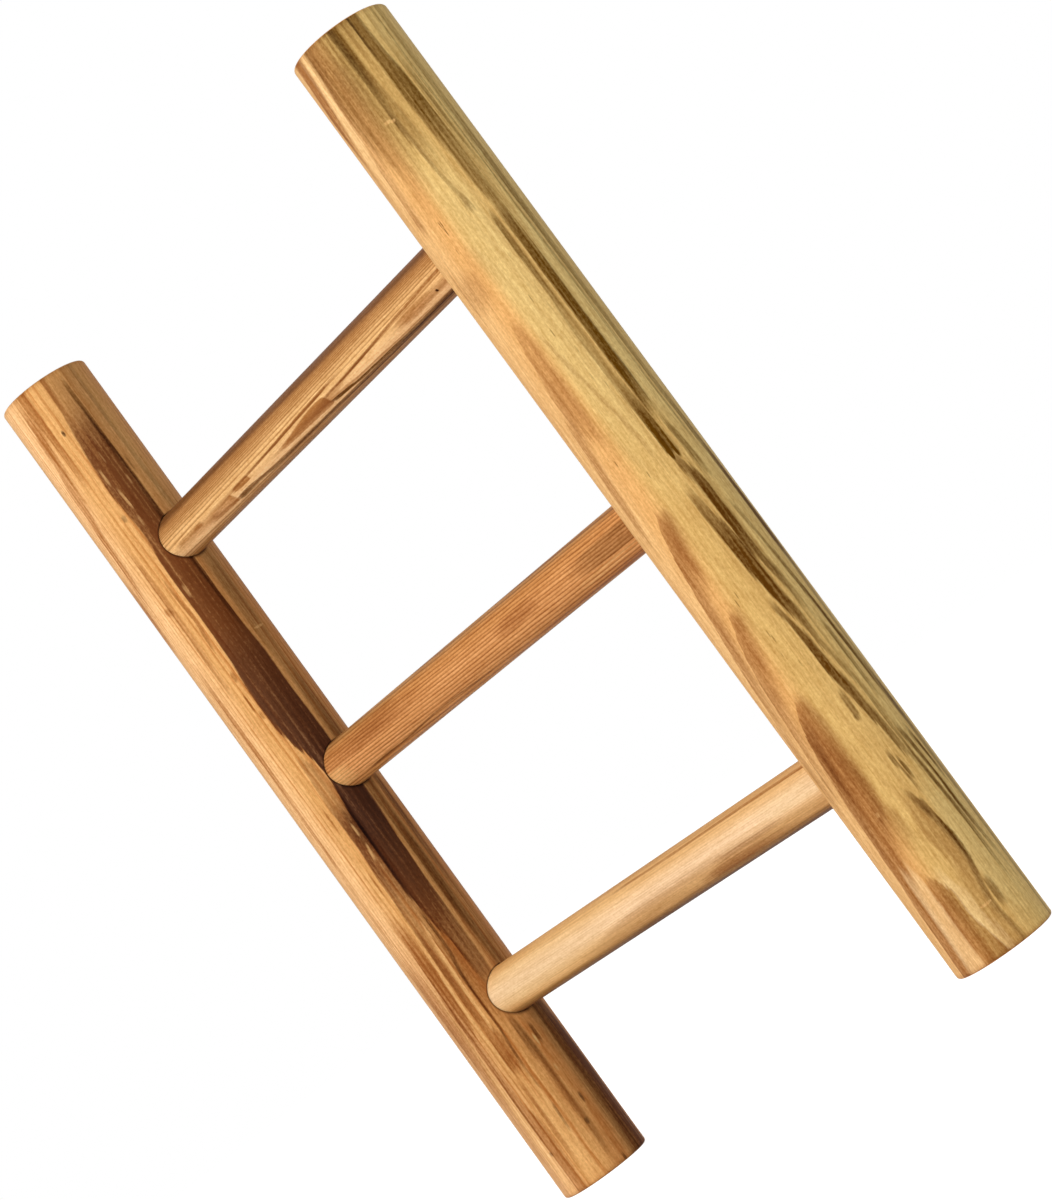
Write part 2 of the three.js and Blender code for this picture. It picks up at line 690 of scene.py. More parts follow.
class Workshop:
    """Holds the shared effects and mixes a material from a finish."""

    def __init__(self) -> None:
        """Builds every shared effect once."""
        self.bearings, self.growth, self.late, self.vein = Bearings(), GrowthRings(), LateWood(), Vein()
        self.fibre, self.dashes, self.end_shade = Fibre(), ResinDashes(), EndShade()
        self.joint_shade, self.varnish = JointShade(), Varnish()

    def material(self, name: str, bar: Bar, finish: WoodFinish) -> bpy.types.Material:
        """Mixes the varnished wood of one piece.

        Args:
            name: The material's name.
            bar: How the piece lies.
            finish: The wood's values.

        Returns:
            The material.
        """
        made = bpy.data.materials.new(name)
        made.use_nodes = True
        mix = WoodMix(self, Graph(made.node_tree), bar, finish)
        colour = mix.bare()
        for layer in (mix.veined, mix.grained, mix.dashed, mix.joined, mix.ended):
            colour = layer(colour)
        mix.varnished(colour)
        return made


@dataclass
class WoodMix:
    """One piece's varnished wood in the making, layer by layer from the bare wood to the varnish."""

    shop: Workshop
    g: Graph
    bar: Bar
    finish: WoodFinish
    stripe_feather: float = 2.0
    stripe_in_veins: tuple[float, ...] = (0.3, 0.62, 0.84, 1.24)
    mottle_in_veins: tuple[float, ...] = (0.3, 0.7, 0.9, 1.1)
    red_share: float = 0.7
    blue_share: float = 1.4
    dash_size: float = 0.24
    joint_radius: float = 13.1
    joint_spread: float = 1.0
    joint_share: float = 0.8
    rim_share: float = 0.3
    end_ring_share: float = 0.85
    end_pores: tuple[float, ...] = (0.3, 0.7, 1.14, 0.8)
    bump_strength: float = 0.35
    bump_distance: float = 0.06 * MM
    specular: float = 0.035

    def __post_init__(self) -> None:
        """Reads where a point lies on the bar, and its fibres and rings."""
        g, shop, finish = self.g, self.shop, self.finish
        self.place = self.bar_place()
        self.where = shop.bearings.place(g, Place=self.place)
        self.fibre = shop.fibre.place(g, Place=self.place, Fineness=finish.fineness)
        figure = {name.title(): value for name, value in vars(finish.rings).items()}
        rings = shop.growth.place(g, Place=self.place, **figure)
        self.late = shop.late.place(g, Place=self.place, Ring=rings["Ring"], Age=rings["Age"],
                                    Onset=finish.onset, Crispness=finish.crispness,
                                    Contrast=finish.contrast, Break_Up=finish.break_up)["Mask"]

    def bar_place(self) -> Socket:
        """Turns Object coordinates into (side, front, along) millimetres of the bar.

        Returns:
            The socket of the place.
        """
        g = self.g
        source = g.add("ShaderNodeTexCoord").outputs["Object"]
        x, y, z = g.split(g.stretch(source, (1 / MM,) * 3, tuple(-c / MM for c in self.bar.centre)))
        front = g.times(y, -1.0)
        return g.join(z, front, x) if self.bar.lies_across else g.join(x, front, z)

    def bare(self) -> Socket:
        """Lays the wood's own tones round the bar and darkens the late wood.

        Returns:
            The colour's socket.
        """
        stops = [((degrees + HALF_TURN) / FULL_TURN, paint(wood)) for degrees, wood in self.finish.tones]
        round_bar = self.g.scaled(self.where["Turn"], -HALF_TURN, HALF_TURN, smooth=False)
        tone = self.g.ramp(round_bar, "EASE", stops)
        return self.g.stain(tone, self.finish.late_tint, self.late, self.finish.late_strength)

    def veined(self, colour: Socket) -> Socket:
        """Lays the drawn veins over the wood, a group at a time, frayed by the fibres.

        Args:
            colour: The colour so far.

        Returns:
            The colour with this layer.
        """
        g, fibre, courses = self.g, self.fibre, self.finish.courses
        ragged = g.swing(fibre["Stripe"])
        turn = g.plus(self.where["Turn"], g.times(ragged, self.finish.feather * self.stripe_feather))
        frayed = g.times_plus(g.swing(fibre["Hair"]), self.finish.feather, turn)
        grainy = g.times(g.scaled(fibre["Stripe"], *self.stripe_in_veins, smooth=False),
                         g.scaled(fibre["Mottle"], *self.mottle_in_veins, smooth=False))
        for first in range(0, len(courses), VEINS_A_GROUP):
            veins = DrawnVeins(self.shop.vein, courses[first : first + VEINS_A_GROUP])
            colour = veins.place(g, Colour=colour, Along=self.where["Along"], Turn=frayed, Ragged=ragged,
                                 Grainy=grainy)["Colour"]
        return colour

    def grained(self, colour: Socket) -> Socket:
        """Varies the colour with the fibres, less in its red and more in its blue.

        Args:
            colour: The colour so far.

        Returns:
            The colour with this layer.
        """
        g, finish, shade = self.g, self.finish, 1.0
        for name, strength in (("Stripe", finish.stripe_strength), ("Hair", finish.hair_strength),
                               ("Mottle", finish.mottle_strength), ("Cloud", finish.cloud_strength)):
            part = g.scaled(self.fibre[name], *NOISE_SPAN, 1 + strength, 1 - strength, smooth=False)
            shade = g.times(shade, part)
        off = g.minus(shade, 1.0)
        red, blue = (g.times_plus(off, share, 1.0) for share in (self.red_share, self.blue_share))
        return g.blend(1.0, colour, g.join(red, shade, blue), "MULTIPLY")

    def dashed(self, colour: Socket) -> Socket:
        """Scatters the resin dashes, more of them in the finish's own zones.

        Args:
            colour: The colour so far.

        Returns:
            The colour with this layer.
        """
        g = self.g
        dashes = self.shop.dashes.place(g, Place=self.place, Size=self.dash_size)
        mask = g.times(dashes["Mask"], self.finish.dash_strength)
        for zone in self.finish.dash_zones:
            zoned = course_mask(g, self.shop.vein, self.where["Along"], self.where["Turn"], zone)
            mask = g.math("MAXIMUM", mask, g.times(dashes["Everywhere"], zoned))
        return g.stain(colour, Tint.UMBER, mask)

    def joined(self, colour: Socket) -> Socket:
        """Darkens the wood round the mouth of each bore: a dark joint line with painted shade of the gap round
        the rung, widest under it.

        Args:
            colour: The colour so far.

        Returns:
            The colour with this layer.
        """
        g, finish = self.g, self.finish
        for height in finish.joint_heights:
            shade = self.shop.joint_shade.place(g, Place=self.place, Height=height, Radius=self.joint_radius,
                                                Spread=self.joint_spread, Facing=finish.joint_facing)
            # Painted shade of the gap round the rung, together with its dark joint line.
            colour = g.stain(colour, Tint.BITTER, shade["Mask"], self.joint_share)
        return colour

    def ended(self, colour: Socket) -> Socket:
        """Shades the rims and gives the end faces their own wood with its rings and pores.

        Args:
            colour: The colour so far.

        Returns:
            The colour with this layer.
        """
        g, bar, finish = self.g, self.bar, self.finish
        ends = self.shop.end_shade.place(g, Along=self.where["Along"], Reach=self.where["Reach"],
                                         Low_End=bar.low_end / MM, High_End=bar.high_end / MM,
                                         Radius=bar.radius / MM)
        colour = g.stain(colour, finish.end_tint, ends["Rim"], self.rim_share)
        ringed = g.stain(paint(finish.end_wood), finish.end_tint, self.late, self.end_ring_share)
        pores = g.scaled(self.fibre["Mottle"], *self.end_pores, smooth=False)
        return g.blend(ends["Face"], colour, g.blend(1.0, ringed, g.join(pores, pores, pores), "MULTIPLY"))

    def varnished(self, colour: Socket) -> None:
        """Joins the colour, the gloss and the relief to the material's surface.

        Args:
            colour: The finished colour.
        """
        g, finish = self.g, self.finish
        coat = self.shop.varnish.place(g, Place=self.place, Hair=self.fibre["Hair"], Late=self.late,
                                       Gloss_Roughness=finish.gloss_roughness, Relief=finish.relief)
        bump = g.wire(g.add("ShaderNodeBump"), Strength=self.bump_strength, Distance=self.bump_distance,
                      Height=coat["Height"])
        g.wire(g.tree.nodes["Principled BSDF"], Base_Color=colour, Roughness=coat["Roughness"],
               Normal=bump.outputs[0], Specular_IOR_Level=self.specular)


@dataclass
class Nick:
    """A small dent: millimetres along, degrees round, its length and width in millimetres and its slant."""

    along: float
    turn: float
    length: float
    width: float
    slant: float = 0.0


# Points closer than this are one where a plane cuts a mesh.
SAME_PLACE = 1e-7


def mesh_of(bm: bmesh.types.BMesh, name: str) -> bpy.types.Mesh:
    """Turns a bmesh into a mesh and frees it.

    Args:
        bm: The finished bmesh.
        name: The mesh's name.

    Returns:
        The mesh.
    """
    mesh = bpy.data.meshes.new(name)
    bm.to_mesh(mesh)
    bm.free()
    return mesh


def bar_blank(radius: float, low: float, high: float, rim: float, sides: int, rim_steps: int,
              ring_gap: float) -> bmesh.types.BMesh:
    """Turns a round bar along Z with eased rims and rings of edges along it.

    Args:
        radius: The bar's radius.
        low: The height of its lower end.
        high: The height of its upper end.
        rim: How much of each rim is taken off.
        sides: The number of sides.
        rim_steps: The number of steps round each rim, 1 for a chamfer.
        ring_gap: The distance between rings of edges.

    Returns:
        A closed bmesh.
    """
    bm = bmesh.new()
    bmesh.ops.create_cone(bm, cap_ends=True, cap_tris=False, segments=sides, radius1=radius, radius2=radius,
                          depth=high - low, matrix=Matrix.Translation((0, 0, (low + high) / 2)))
    rims = [e for e in bm.edges if abs(e.verts[0].co.z - e.verts[1].co.z) < MM]
    bmesh.ops.bevel(bm, geom=rims, offset=rim, offset_type="OFFSET", segments=rim_steps, profile=0.5,
                    affect="EDGES", clamp_overlap=True, material=-1)
    ends = [f for f in bm.faces if len(f.verts) == sides]
    bmesh.ops.inset_individual(bm, faces=ends, thickness=rim, use_even_offset=True)
    height = low + 2 * rim
    while height < high - 2 * rim:
        bmesh.ops.bisect_plane(bm, geom=bm.verts[:] + bm.edges[:] + bm.faces[:], dist=SAME_PLACE,
                               plane_co=(0, 0, height), plane_no=(0, 0, 1))
        height += ring_gap
    return bm


def cut(body: bpy.types.Mesh, tools: list[bpy.types.Mesh]) -> bpy.types.Mesh:
    """Takes tools out of a body.

    Args:
        body: The closed mesh to cut.
        tools: Closed meshes that don't touch each other.

    Returns:
        The cut mesh.
    """
    target = bpy.data.objects.new("cut_body", body)
    bpy.context.scene.collection.objects.link(target)
    helpers = bpy.data.collections.new("cut_tools")
    for mesh in tools:
        helpers.objects.link(bpy.data.objects.new("cut_tool", mesh))
    modifier = target.modifiers.new("cut", "BOOLEAN")
    modifier.operation = "DIFFERENCE"
    modifier.solver = "EXACT"
    modifier.operand_type = "COLLECTION"
    modifier.collection = helpers
    made = bpy.data.meshes.new_from_object(target.evaluated_get(bpy.context.evaluated_depsgraph_get()))
    for helper in list(helpers.objects):
        bpy.data.objects.remove(helper)
    bpy.data.collections.remove(helpers)
    bpy.data.objects.remove(target)
    return made


def smooth(mesh: bpy.types.Mesh, crease: float) -> None:
    """Shades a mesh smooth, with sharp edges where its faces turn by more than the crease, in degrees."""
    bm = bmesh.new()
    bm.from_mesh(mesh)
    for face in bm.faces:
        face.smooth = True
    for edge in bm.edges:
        edge.smooth = edge.calc_face_angle(0.0) < math.radians(crease)
    bm.to_mesh(mesh)
    bm.free()


@dataclass
class Piece:
    """One turned piece of the ladder that stands for its CAD node."""

    node: str
    finish: WoodFinish
    crease: float = 28.0
    sides: int = 160
    ring_gap: float = 10 * MM

    def bar(self) -> Bar:
        """Says how the piece lies; each kind has its own way."""
        raise NotImplementedError

    def build(self) -> bpy.types.Mesh:
        """Makes the piece's mesh; each kind has its own way."""
        raise NotImplementedError

    def dress(self, shop: Workshop) -> bpy.types.Object:
        """Makes the object, gives it its finish and ties it to the frame.

        Args:
            shop: Where the finish is mixed.

        Returns:
            The object.
        """
        mesh = self.build()
        smooth(mesh, self.crease)
        mesh.materials.clear()
        mesh.materials.append(shop.material(self.finish.slot, self.bar(), self.finish))
        piece = bpy.data.objects.new(self.node + "_wood", mesh)
        bpy.context.scene.collection.objects.link(piece)
        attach(piece, BODY)
        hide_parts(self.node)
        log.info("%s: %d faces", piece.name, len(mesh.polygons))
        return piece


@dataclass
class Pole(Piece):
    """A standing pole with sanded rims and three blind bores for the rungs."""

    facing: float = 1.0
    bore_heights: tuple[float, ...] = ()
    rim_steps: int = 6
    bore_radius: float = 13.3 * MM
    bore_sides: int = 96
    bore_bottom: float = -5 * MM
    bore_overrun: float = 2 * MM
    bit_point_radius: float = 2 * MM
    bit_point_depth: float = 1.5 * MM
    rim: float = 1.5 * MM
    sanding: float = 0.05 * MM
    sanding_across: float = 40.0
    sanding_along: float = 9.0
    nick_depth: float = 0.36 * MM
    nick_lift: float = 0.02 * MM
    nick_turns: int = 20
    nick_rings: int = 12
    nicks: tuple[Nick, ...] = ()

    def bar(self) -> Bar:
        """Reads the pole's place from its CAD node."""
        low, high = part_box(self.node)
        middle = (low + high) / 2
        return Bar((middle.x, middle.y, 0.0), False, (high.x - low.x) / 2, low.z, high.z)

    def bore_tool(self, height: float, radius: float) -> bpy.types.Mesh:
        """Makes what the bit takes out at one height.

        Args:
            height: The height of the bore's axis.
            radius: The pole's radius.

        Returns:
            A closed mesh.
        """
        bm = bmesh.new()
        top = radius + self.bore_overrun
        bmesh.ops.create_cone(bm, cap_ends=True, cap_tris=False, segments=self.bore_sides,
                              radius1=self.bore_radius, radius2=self.bore_radius,
                              depth=top - self.bore_bottom,
                              matrix=Matrix.Translation((0, 0, (top + self.bore_bottom) / 2)))
        bottom = [f for f in bm.faces
                  if len(f.verts) == self.bore_sides and f.calc_center_median().z < top / 2]
        bmesh.ops.inset_individual(bm, faces=bottom, thickness=self.bore_radius - self.bit_point_radius,
                                   use_even_offset=True)
        tip = bmesh.ops.poke(bm, faces=bottom)["verts"]
        bmesh.ops.translate(bm, verts=tip, vec=(0, 0, -self.bit_point_depth))
        turn = Matrix.Translation((0, 0, height)) @ Matrix.Rotation(self.facing * math.pi / 2, 4, "Y")
        bmesh.ops.transform(bm, matrix=turn, verts=bm.verts)
        return mesh_of(bm, "bore")

    def nick_tool(self, nick: Nick, radius: float) -> bpy.types.Mesh:
        """Makes the lens-shaped bite of one small dent.

        Args:
            nick: Where it lies and how large it is.
            radius: The pole's radius.

        Returns:
            A closed mesh.
        """
        bm = bmesh.new()
        bmesh.ops.create_uvsphere(bm, u_segments=self.nick_turns, v_segments=self.nick_rings, radius=0.5)
        bmesh.ops.scale(bm, vec=(nick.width * MM, self.nick_depth, nick.length * MM), verts=bm.verts)
        move = (Matrix.Translation((0, 0, nick.along * MM))
                @ Matrix.Rotation(math.radians(nick.turn), 4, "Z")
                @ Matrix.Translation((0, -radius - self.nick_lift, 0))
                @ Matrix.Rotation(math.radians(nick.slant), 4, "Y"))
        bmesh.ops.transform(bm, matrix=move, verts=bm.verts)
        return mesh_of(bm, "nick")

    def build(self) -> bpy.types.Mesh:
        """Turns the pole, sands it a little uneven and cuts its bores and nicks."""
        bar = self.bar()
        bm = bar_blank(bar.radius, bar.low_end, bar.high_end, self.rim, self.sides, self.rim_steps,
                       self.ring_gap)
        for vert in bm.verts:
            spot = Vector((vert.co.x * self.sanding_across, vert.co.y * self.sanding_across,
                           vert.co.z * self.sanding_along + bar.centre[0]))
            vert.co.xy *= 1 - self.sanding * (0.5 + 0.5 * noise.noise(spot)) / bar.radius
        tools = [self.bore_tool(height, bar.radius) for height in self.bore_heights]
        tools += [self.nick_tool(nick, bar.radius) for nick in self.nicks]
        made = cut(mesh_of(bm, self.node), tools)
        made.transform(Matrix.Translation(bar.centre))
        return made


@dataclass
class Rung(Piece):
    """A round rung whose chamfered ends sit in the bores of both poles."""

    chamfer: float = 1.5 * MM
    sides: int = 128

    def bar(self) -> Bar:
        """Reads the rung's place from its CAD node."""
        low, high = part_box(self.node)
        middle = (low + high) / 2
        return Bar((0.0, middle.y, middle.z), True, (high.z - low.z) / 2, low.x, high.x)

    def build(self) -> bpy.types.Mesh:
        """Turns the rung and lays it across."""
        bar = self.bar()
        bm = bar_blank(bar.radius, bar.low_end, bar.high_end, self.chamfer, self.sides, 1, self.ring_gap)
        bmesh.ops.transform(bm, matrix=Matrix.Translation(bar.centre) @ Matrix.Rotation(math.pi / 2, 4, "Y"),
                            verts=bm.verts)
        return mesh_of(bm, self.node)


@dataclass
class Studio:
    """The plain pale studio: camera, floor, a white surround, and lamps by their name, azimuth, elevation,
    distance, size and power."""

    azimuth: float = 47.5351
    elevation: float = -3.4260
    roll: float = -36.0764
    distance: float = 1.5013
    aim: Triple = (0.01959, 0.02105, 0.25004)
    lens: float = 95.153
    sensor: float = 36.0
    surround: float = 0.315
    floor_size: float = 8.0
    floor_tone: float = 0.8
    floor_glow: float = 0.86
    lamp_aim: Triple = (0.0, 0.0, 0.25)
    lamps: tuple[tuple[str, float, float, float, float, float], ...] = (
        ("key", 14.0, 22.0, 2.2, 1.3, 31.5),
        ("fill", 75.0, 30.0, 2.4, 1.6, 7.5),
    )

    @staticmethod
    def facing(azimuth: float, elevation: float) -> Matrix:
        """Gives the axes of something that looks at the object.

        Args:
            azimuth: Degrees round the object, 0 in front and 90 at +X.
            elevation: Degrees above the level.

        Returns:
            A 4x4 whose Z axis points away from the object.
        """
        turn, rise = math.radians(azimuth), math.radians(elevation)
        back = Vector((math.sin(turn) * math.cos(rise), -math.cos(turn) * math.cos(rise), math.sin(rise)))
        right = Vector((math.cos(turn), math.sin(turn), 0))
        return Matrix((right, back.cross(right), back)).transposed().to_4x4()

    def build_camera(self) -> None:
        """Places the camera at the photograph's viewing angle."""
        data = bpy.data.cameras.new("camera")
        data.lens, data.sensor_width = self.lens, self.sensor
        camera = bpy.data.objects.new("camera", data)
        bpy.context.scene.collection.objects.link(camera)
        axes = self.facing(self.azimuth, self.elevation)
        place = Vector(self.aim) + axes.col[2].to_3d() * self.distance
        roll = Matrix.Rotation(math.radians(self.roll), 4, "Z")
        camera.matrix_world = Matrix.Translation(place) @ axes @ roll
        bpy.context.scene.camera = camera

    def build_lamps(self) -> None:
        """Hangs the soft lamps."""
        for name, azimuth, elevation, distance, size, power in self.lamps:
            data = bpy.data.lights.new(name, "AREA")
            data.size, data.energy = size, power
            lamp = bpy.data.objects.new(name, data)
            bpy.context.scene.collection.objects.link(lamp)
            axes = self.facing(azimuth, elevation)
            place = Vector(self.lamp_aim) + axes.col[2].to_3d() * distance
            lamp.matrix_world = Matrix.Translation(place) @ axes

    @staticmethod
    def shown(g: Graph, output: str, lit: bpy.types.Node, seen: bpy.types.Node) -> None:
        """Shows one shader to camera, glossy and transmission rays, and another to the rays that give light.

        Args:
            g: The nodes that both are in.
            output: The name of the output node.
            lit: The shader for the rays that give light.
            seen: The shader for the other rays.
        """
        path = g.add("ShaderNodeLightPath")
        mirrored = g.math("MAXIMUM", path.outputs["Is Glossy Ray"], path.outputs["Is Transmission Ray"])
        directly = g.math("MAXIMUM", path.outputs["Is Camera Ray"], mirrored)
        mix = g.add("ShaderNodeMixShader")
        for socket, value in zip(mix.inputs, (directly, lit.outputs[0], seen.outputs[0])):
            g.feed(socket, value)
        g.wire(g.tree.nodes[output], Surface=mix.outputs[0])

    def build_surround(self) -> None:
        """Makes the world white to look at and dimmer as a lamp."""
        world = bpy.data.worlds.new("surround")
        world.use_nodes = True
        bpy.context.scene.world = world
        g = Graph(world.node_tree)
        dim = g.wire(g.tree.nodes["Background"], Color=(1, 1, 1, 1), Strength=self.surround)
        white = g.wire(g.add("ShaderNodeBackground"), Color=(1, 1, 1, 1), Strength=1.0)
        self.shown(g, "World Output", dim, white)

    def build_floor(self) -> None:
        """Lays a pale floor that looks white and keeps the ladder's shadow."""
        bm = bmesh.new()
        bmesh.ops.create_grid(bm, x_segments=1, y_segments=1, size=self.floor_size / 2)
        floor = bpy.data.objects.new("floor", mesh_of(bm, "floor"))
        bpy.context.scene.collection.objects.link(floor)
        pale = bpy.data.materials.new("pale_floor")
        pale.use_nodes = True
        g = Graph(pale.node_tree)
        g.tree.nodes.remove(g.tree.nodes["Principled BSDF"])
        matt = g.wire(g.add("ShaderNodeBsdfDiffuse"), Color=(self.floor_tone,) * 3 + (1,))
        glow = g.wire(g.add("ShaderNodeEmission"), Strength=self.floor_glow)
        seen = g.add("ShaderNodeAddShader")
        g.feed(seen.inputs[0], matt.outputs[0])
        g.feed(seen.inputs[1], glow.outputs[0])
        self.shown(g, "Material Output", matt, seen)
        floor.data.materials.append(pale)

    def build(self) -> None:
        """Sets up the whole studio."""
        bpy.context.scene.view_settings.view_transform = "Standard"
        self.build_camera()
        self.build_lamps()
        self.build_surround()
        self.build_floor()


# Where a spot's stops lie as shares of its length, with the shares of its half width and its strength.
SPOT_SHAPE = ((-0.5, 0.3, 0.0), (-0.2, 1.0, 1.0), (0.25, 0.8, 0.9), (0.5, 0.3, 0.0))
SPOT_SOFTNESS = 0.8

# The same for a seeded vein, with one share for its half width and its strength.
VEIN_SHAPE = ((0.5, 0.0), (0.3, 0.7), (0.05, 1.0), (-0.25, 0.8), (-0.5, 0.0))


def spots(tint: Tint, *rows: tuple[float, ...]) -> tuple[Course, ...]:
    """Makes the courses of short marks of one colour.

    Args:
        tint: Their colour.
        *rows: For each, the millimetres along and the degrees round the piece of its middle, its length in
            millimetres, half its width in degrees, its strength in percent, and how many degrees it turns
            from end to end where it does.

    Returns:
        Their courses.
    """
    return tuple(
        Course(tuple((along - length * part, turn + sum(drift) * part, half * width, strength * amount)
                     for part, width, amount in SPOT_SHAPE), tint, SPOT_SOFTNESS, SPOT_SOFTNESS)
        for along, turn, length, half, strength, *drift in rows)


@dataclass(frozen=True)
class FarVein:
    """The ranges that a seeded vein's values are drawn from, in millimetres, degrees and percent."""

    gap_share: tuple[float, float] = (0.2, 0.8)
    middle: tuple[float, float] = (60.0, 430.0)
    length: tuple[float, float] = (120.0, 320.0)
    slant: tuple[float, float] = (-0.05, 0.05)
    half: tuple[float, float] = (1.0, 5.0)
    strength: tuple[float, float] = (30.0, 65.0)
    waver: tuple[float, float] = (-1.5, 1.5)
    low_soft: tuple[float, float] = (1.0, 3.0)
    high_soft: tuple[float, float] = (1.5, 5.0)


def far_veins(seed: int, count: int, first: float, last: float, tint: Tint) -> tuple[Course, ...]:
    """Makes long, slightly slanting veins for the sides of a pole that carry no marks of their own.

    Args:
        seed: The number that the veins follow from.
        count: How many veins to make.
        first: The degrees round the pole where they begin.
        last: The degrees where they end.
        tint: Their colour.

    Returns:
        Their courses.
    """
    dice, ranges, veins = random.Random(seed), FarVein(), []
    for place in range(count):
        turn = first + (last - first) * (place + dice.uniform(*ranges.gap_share)) / count
        middle, length = dice.uniform(*ranges.middle), dice.uniform(*ranges.length)
        slant, half, strength = (dice.uniform(*span) for span in (ranges.slant, ranges.half, ranges.strength))
        stops = tuple((middle + length * part, turn + slant * length * part + dice.uniform(*ranges.waver),
                       half * wide, strength * wide) for part, wide in VEIN_SHAPE)
        veins.append(Course(stops, tint, dice.uniform(*ranges.low_soft), dice.uniform(*ranges.high_soft)))
    return tuple(veins)


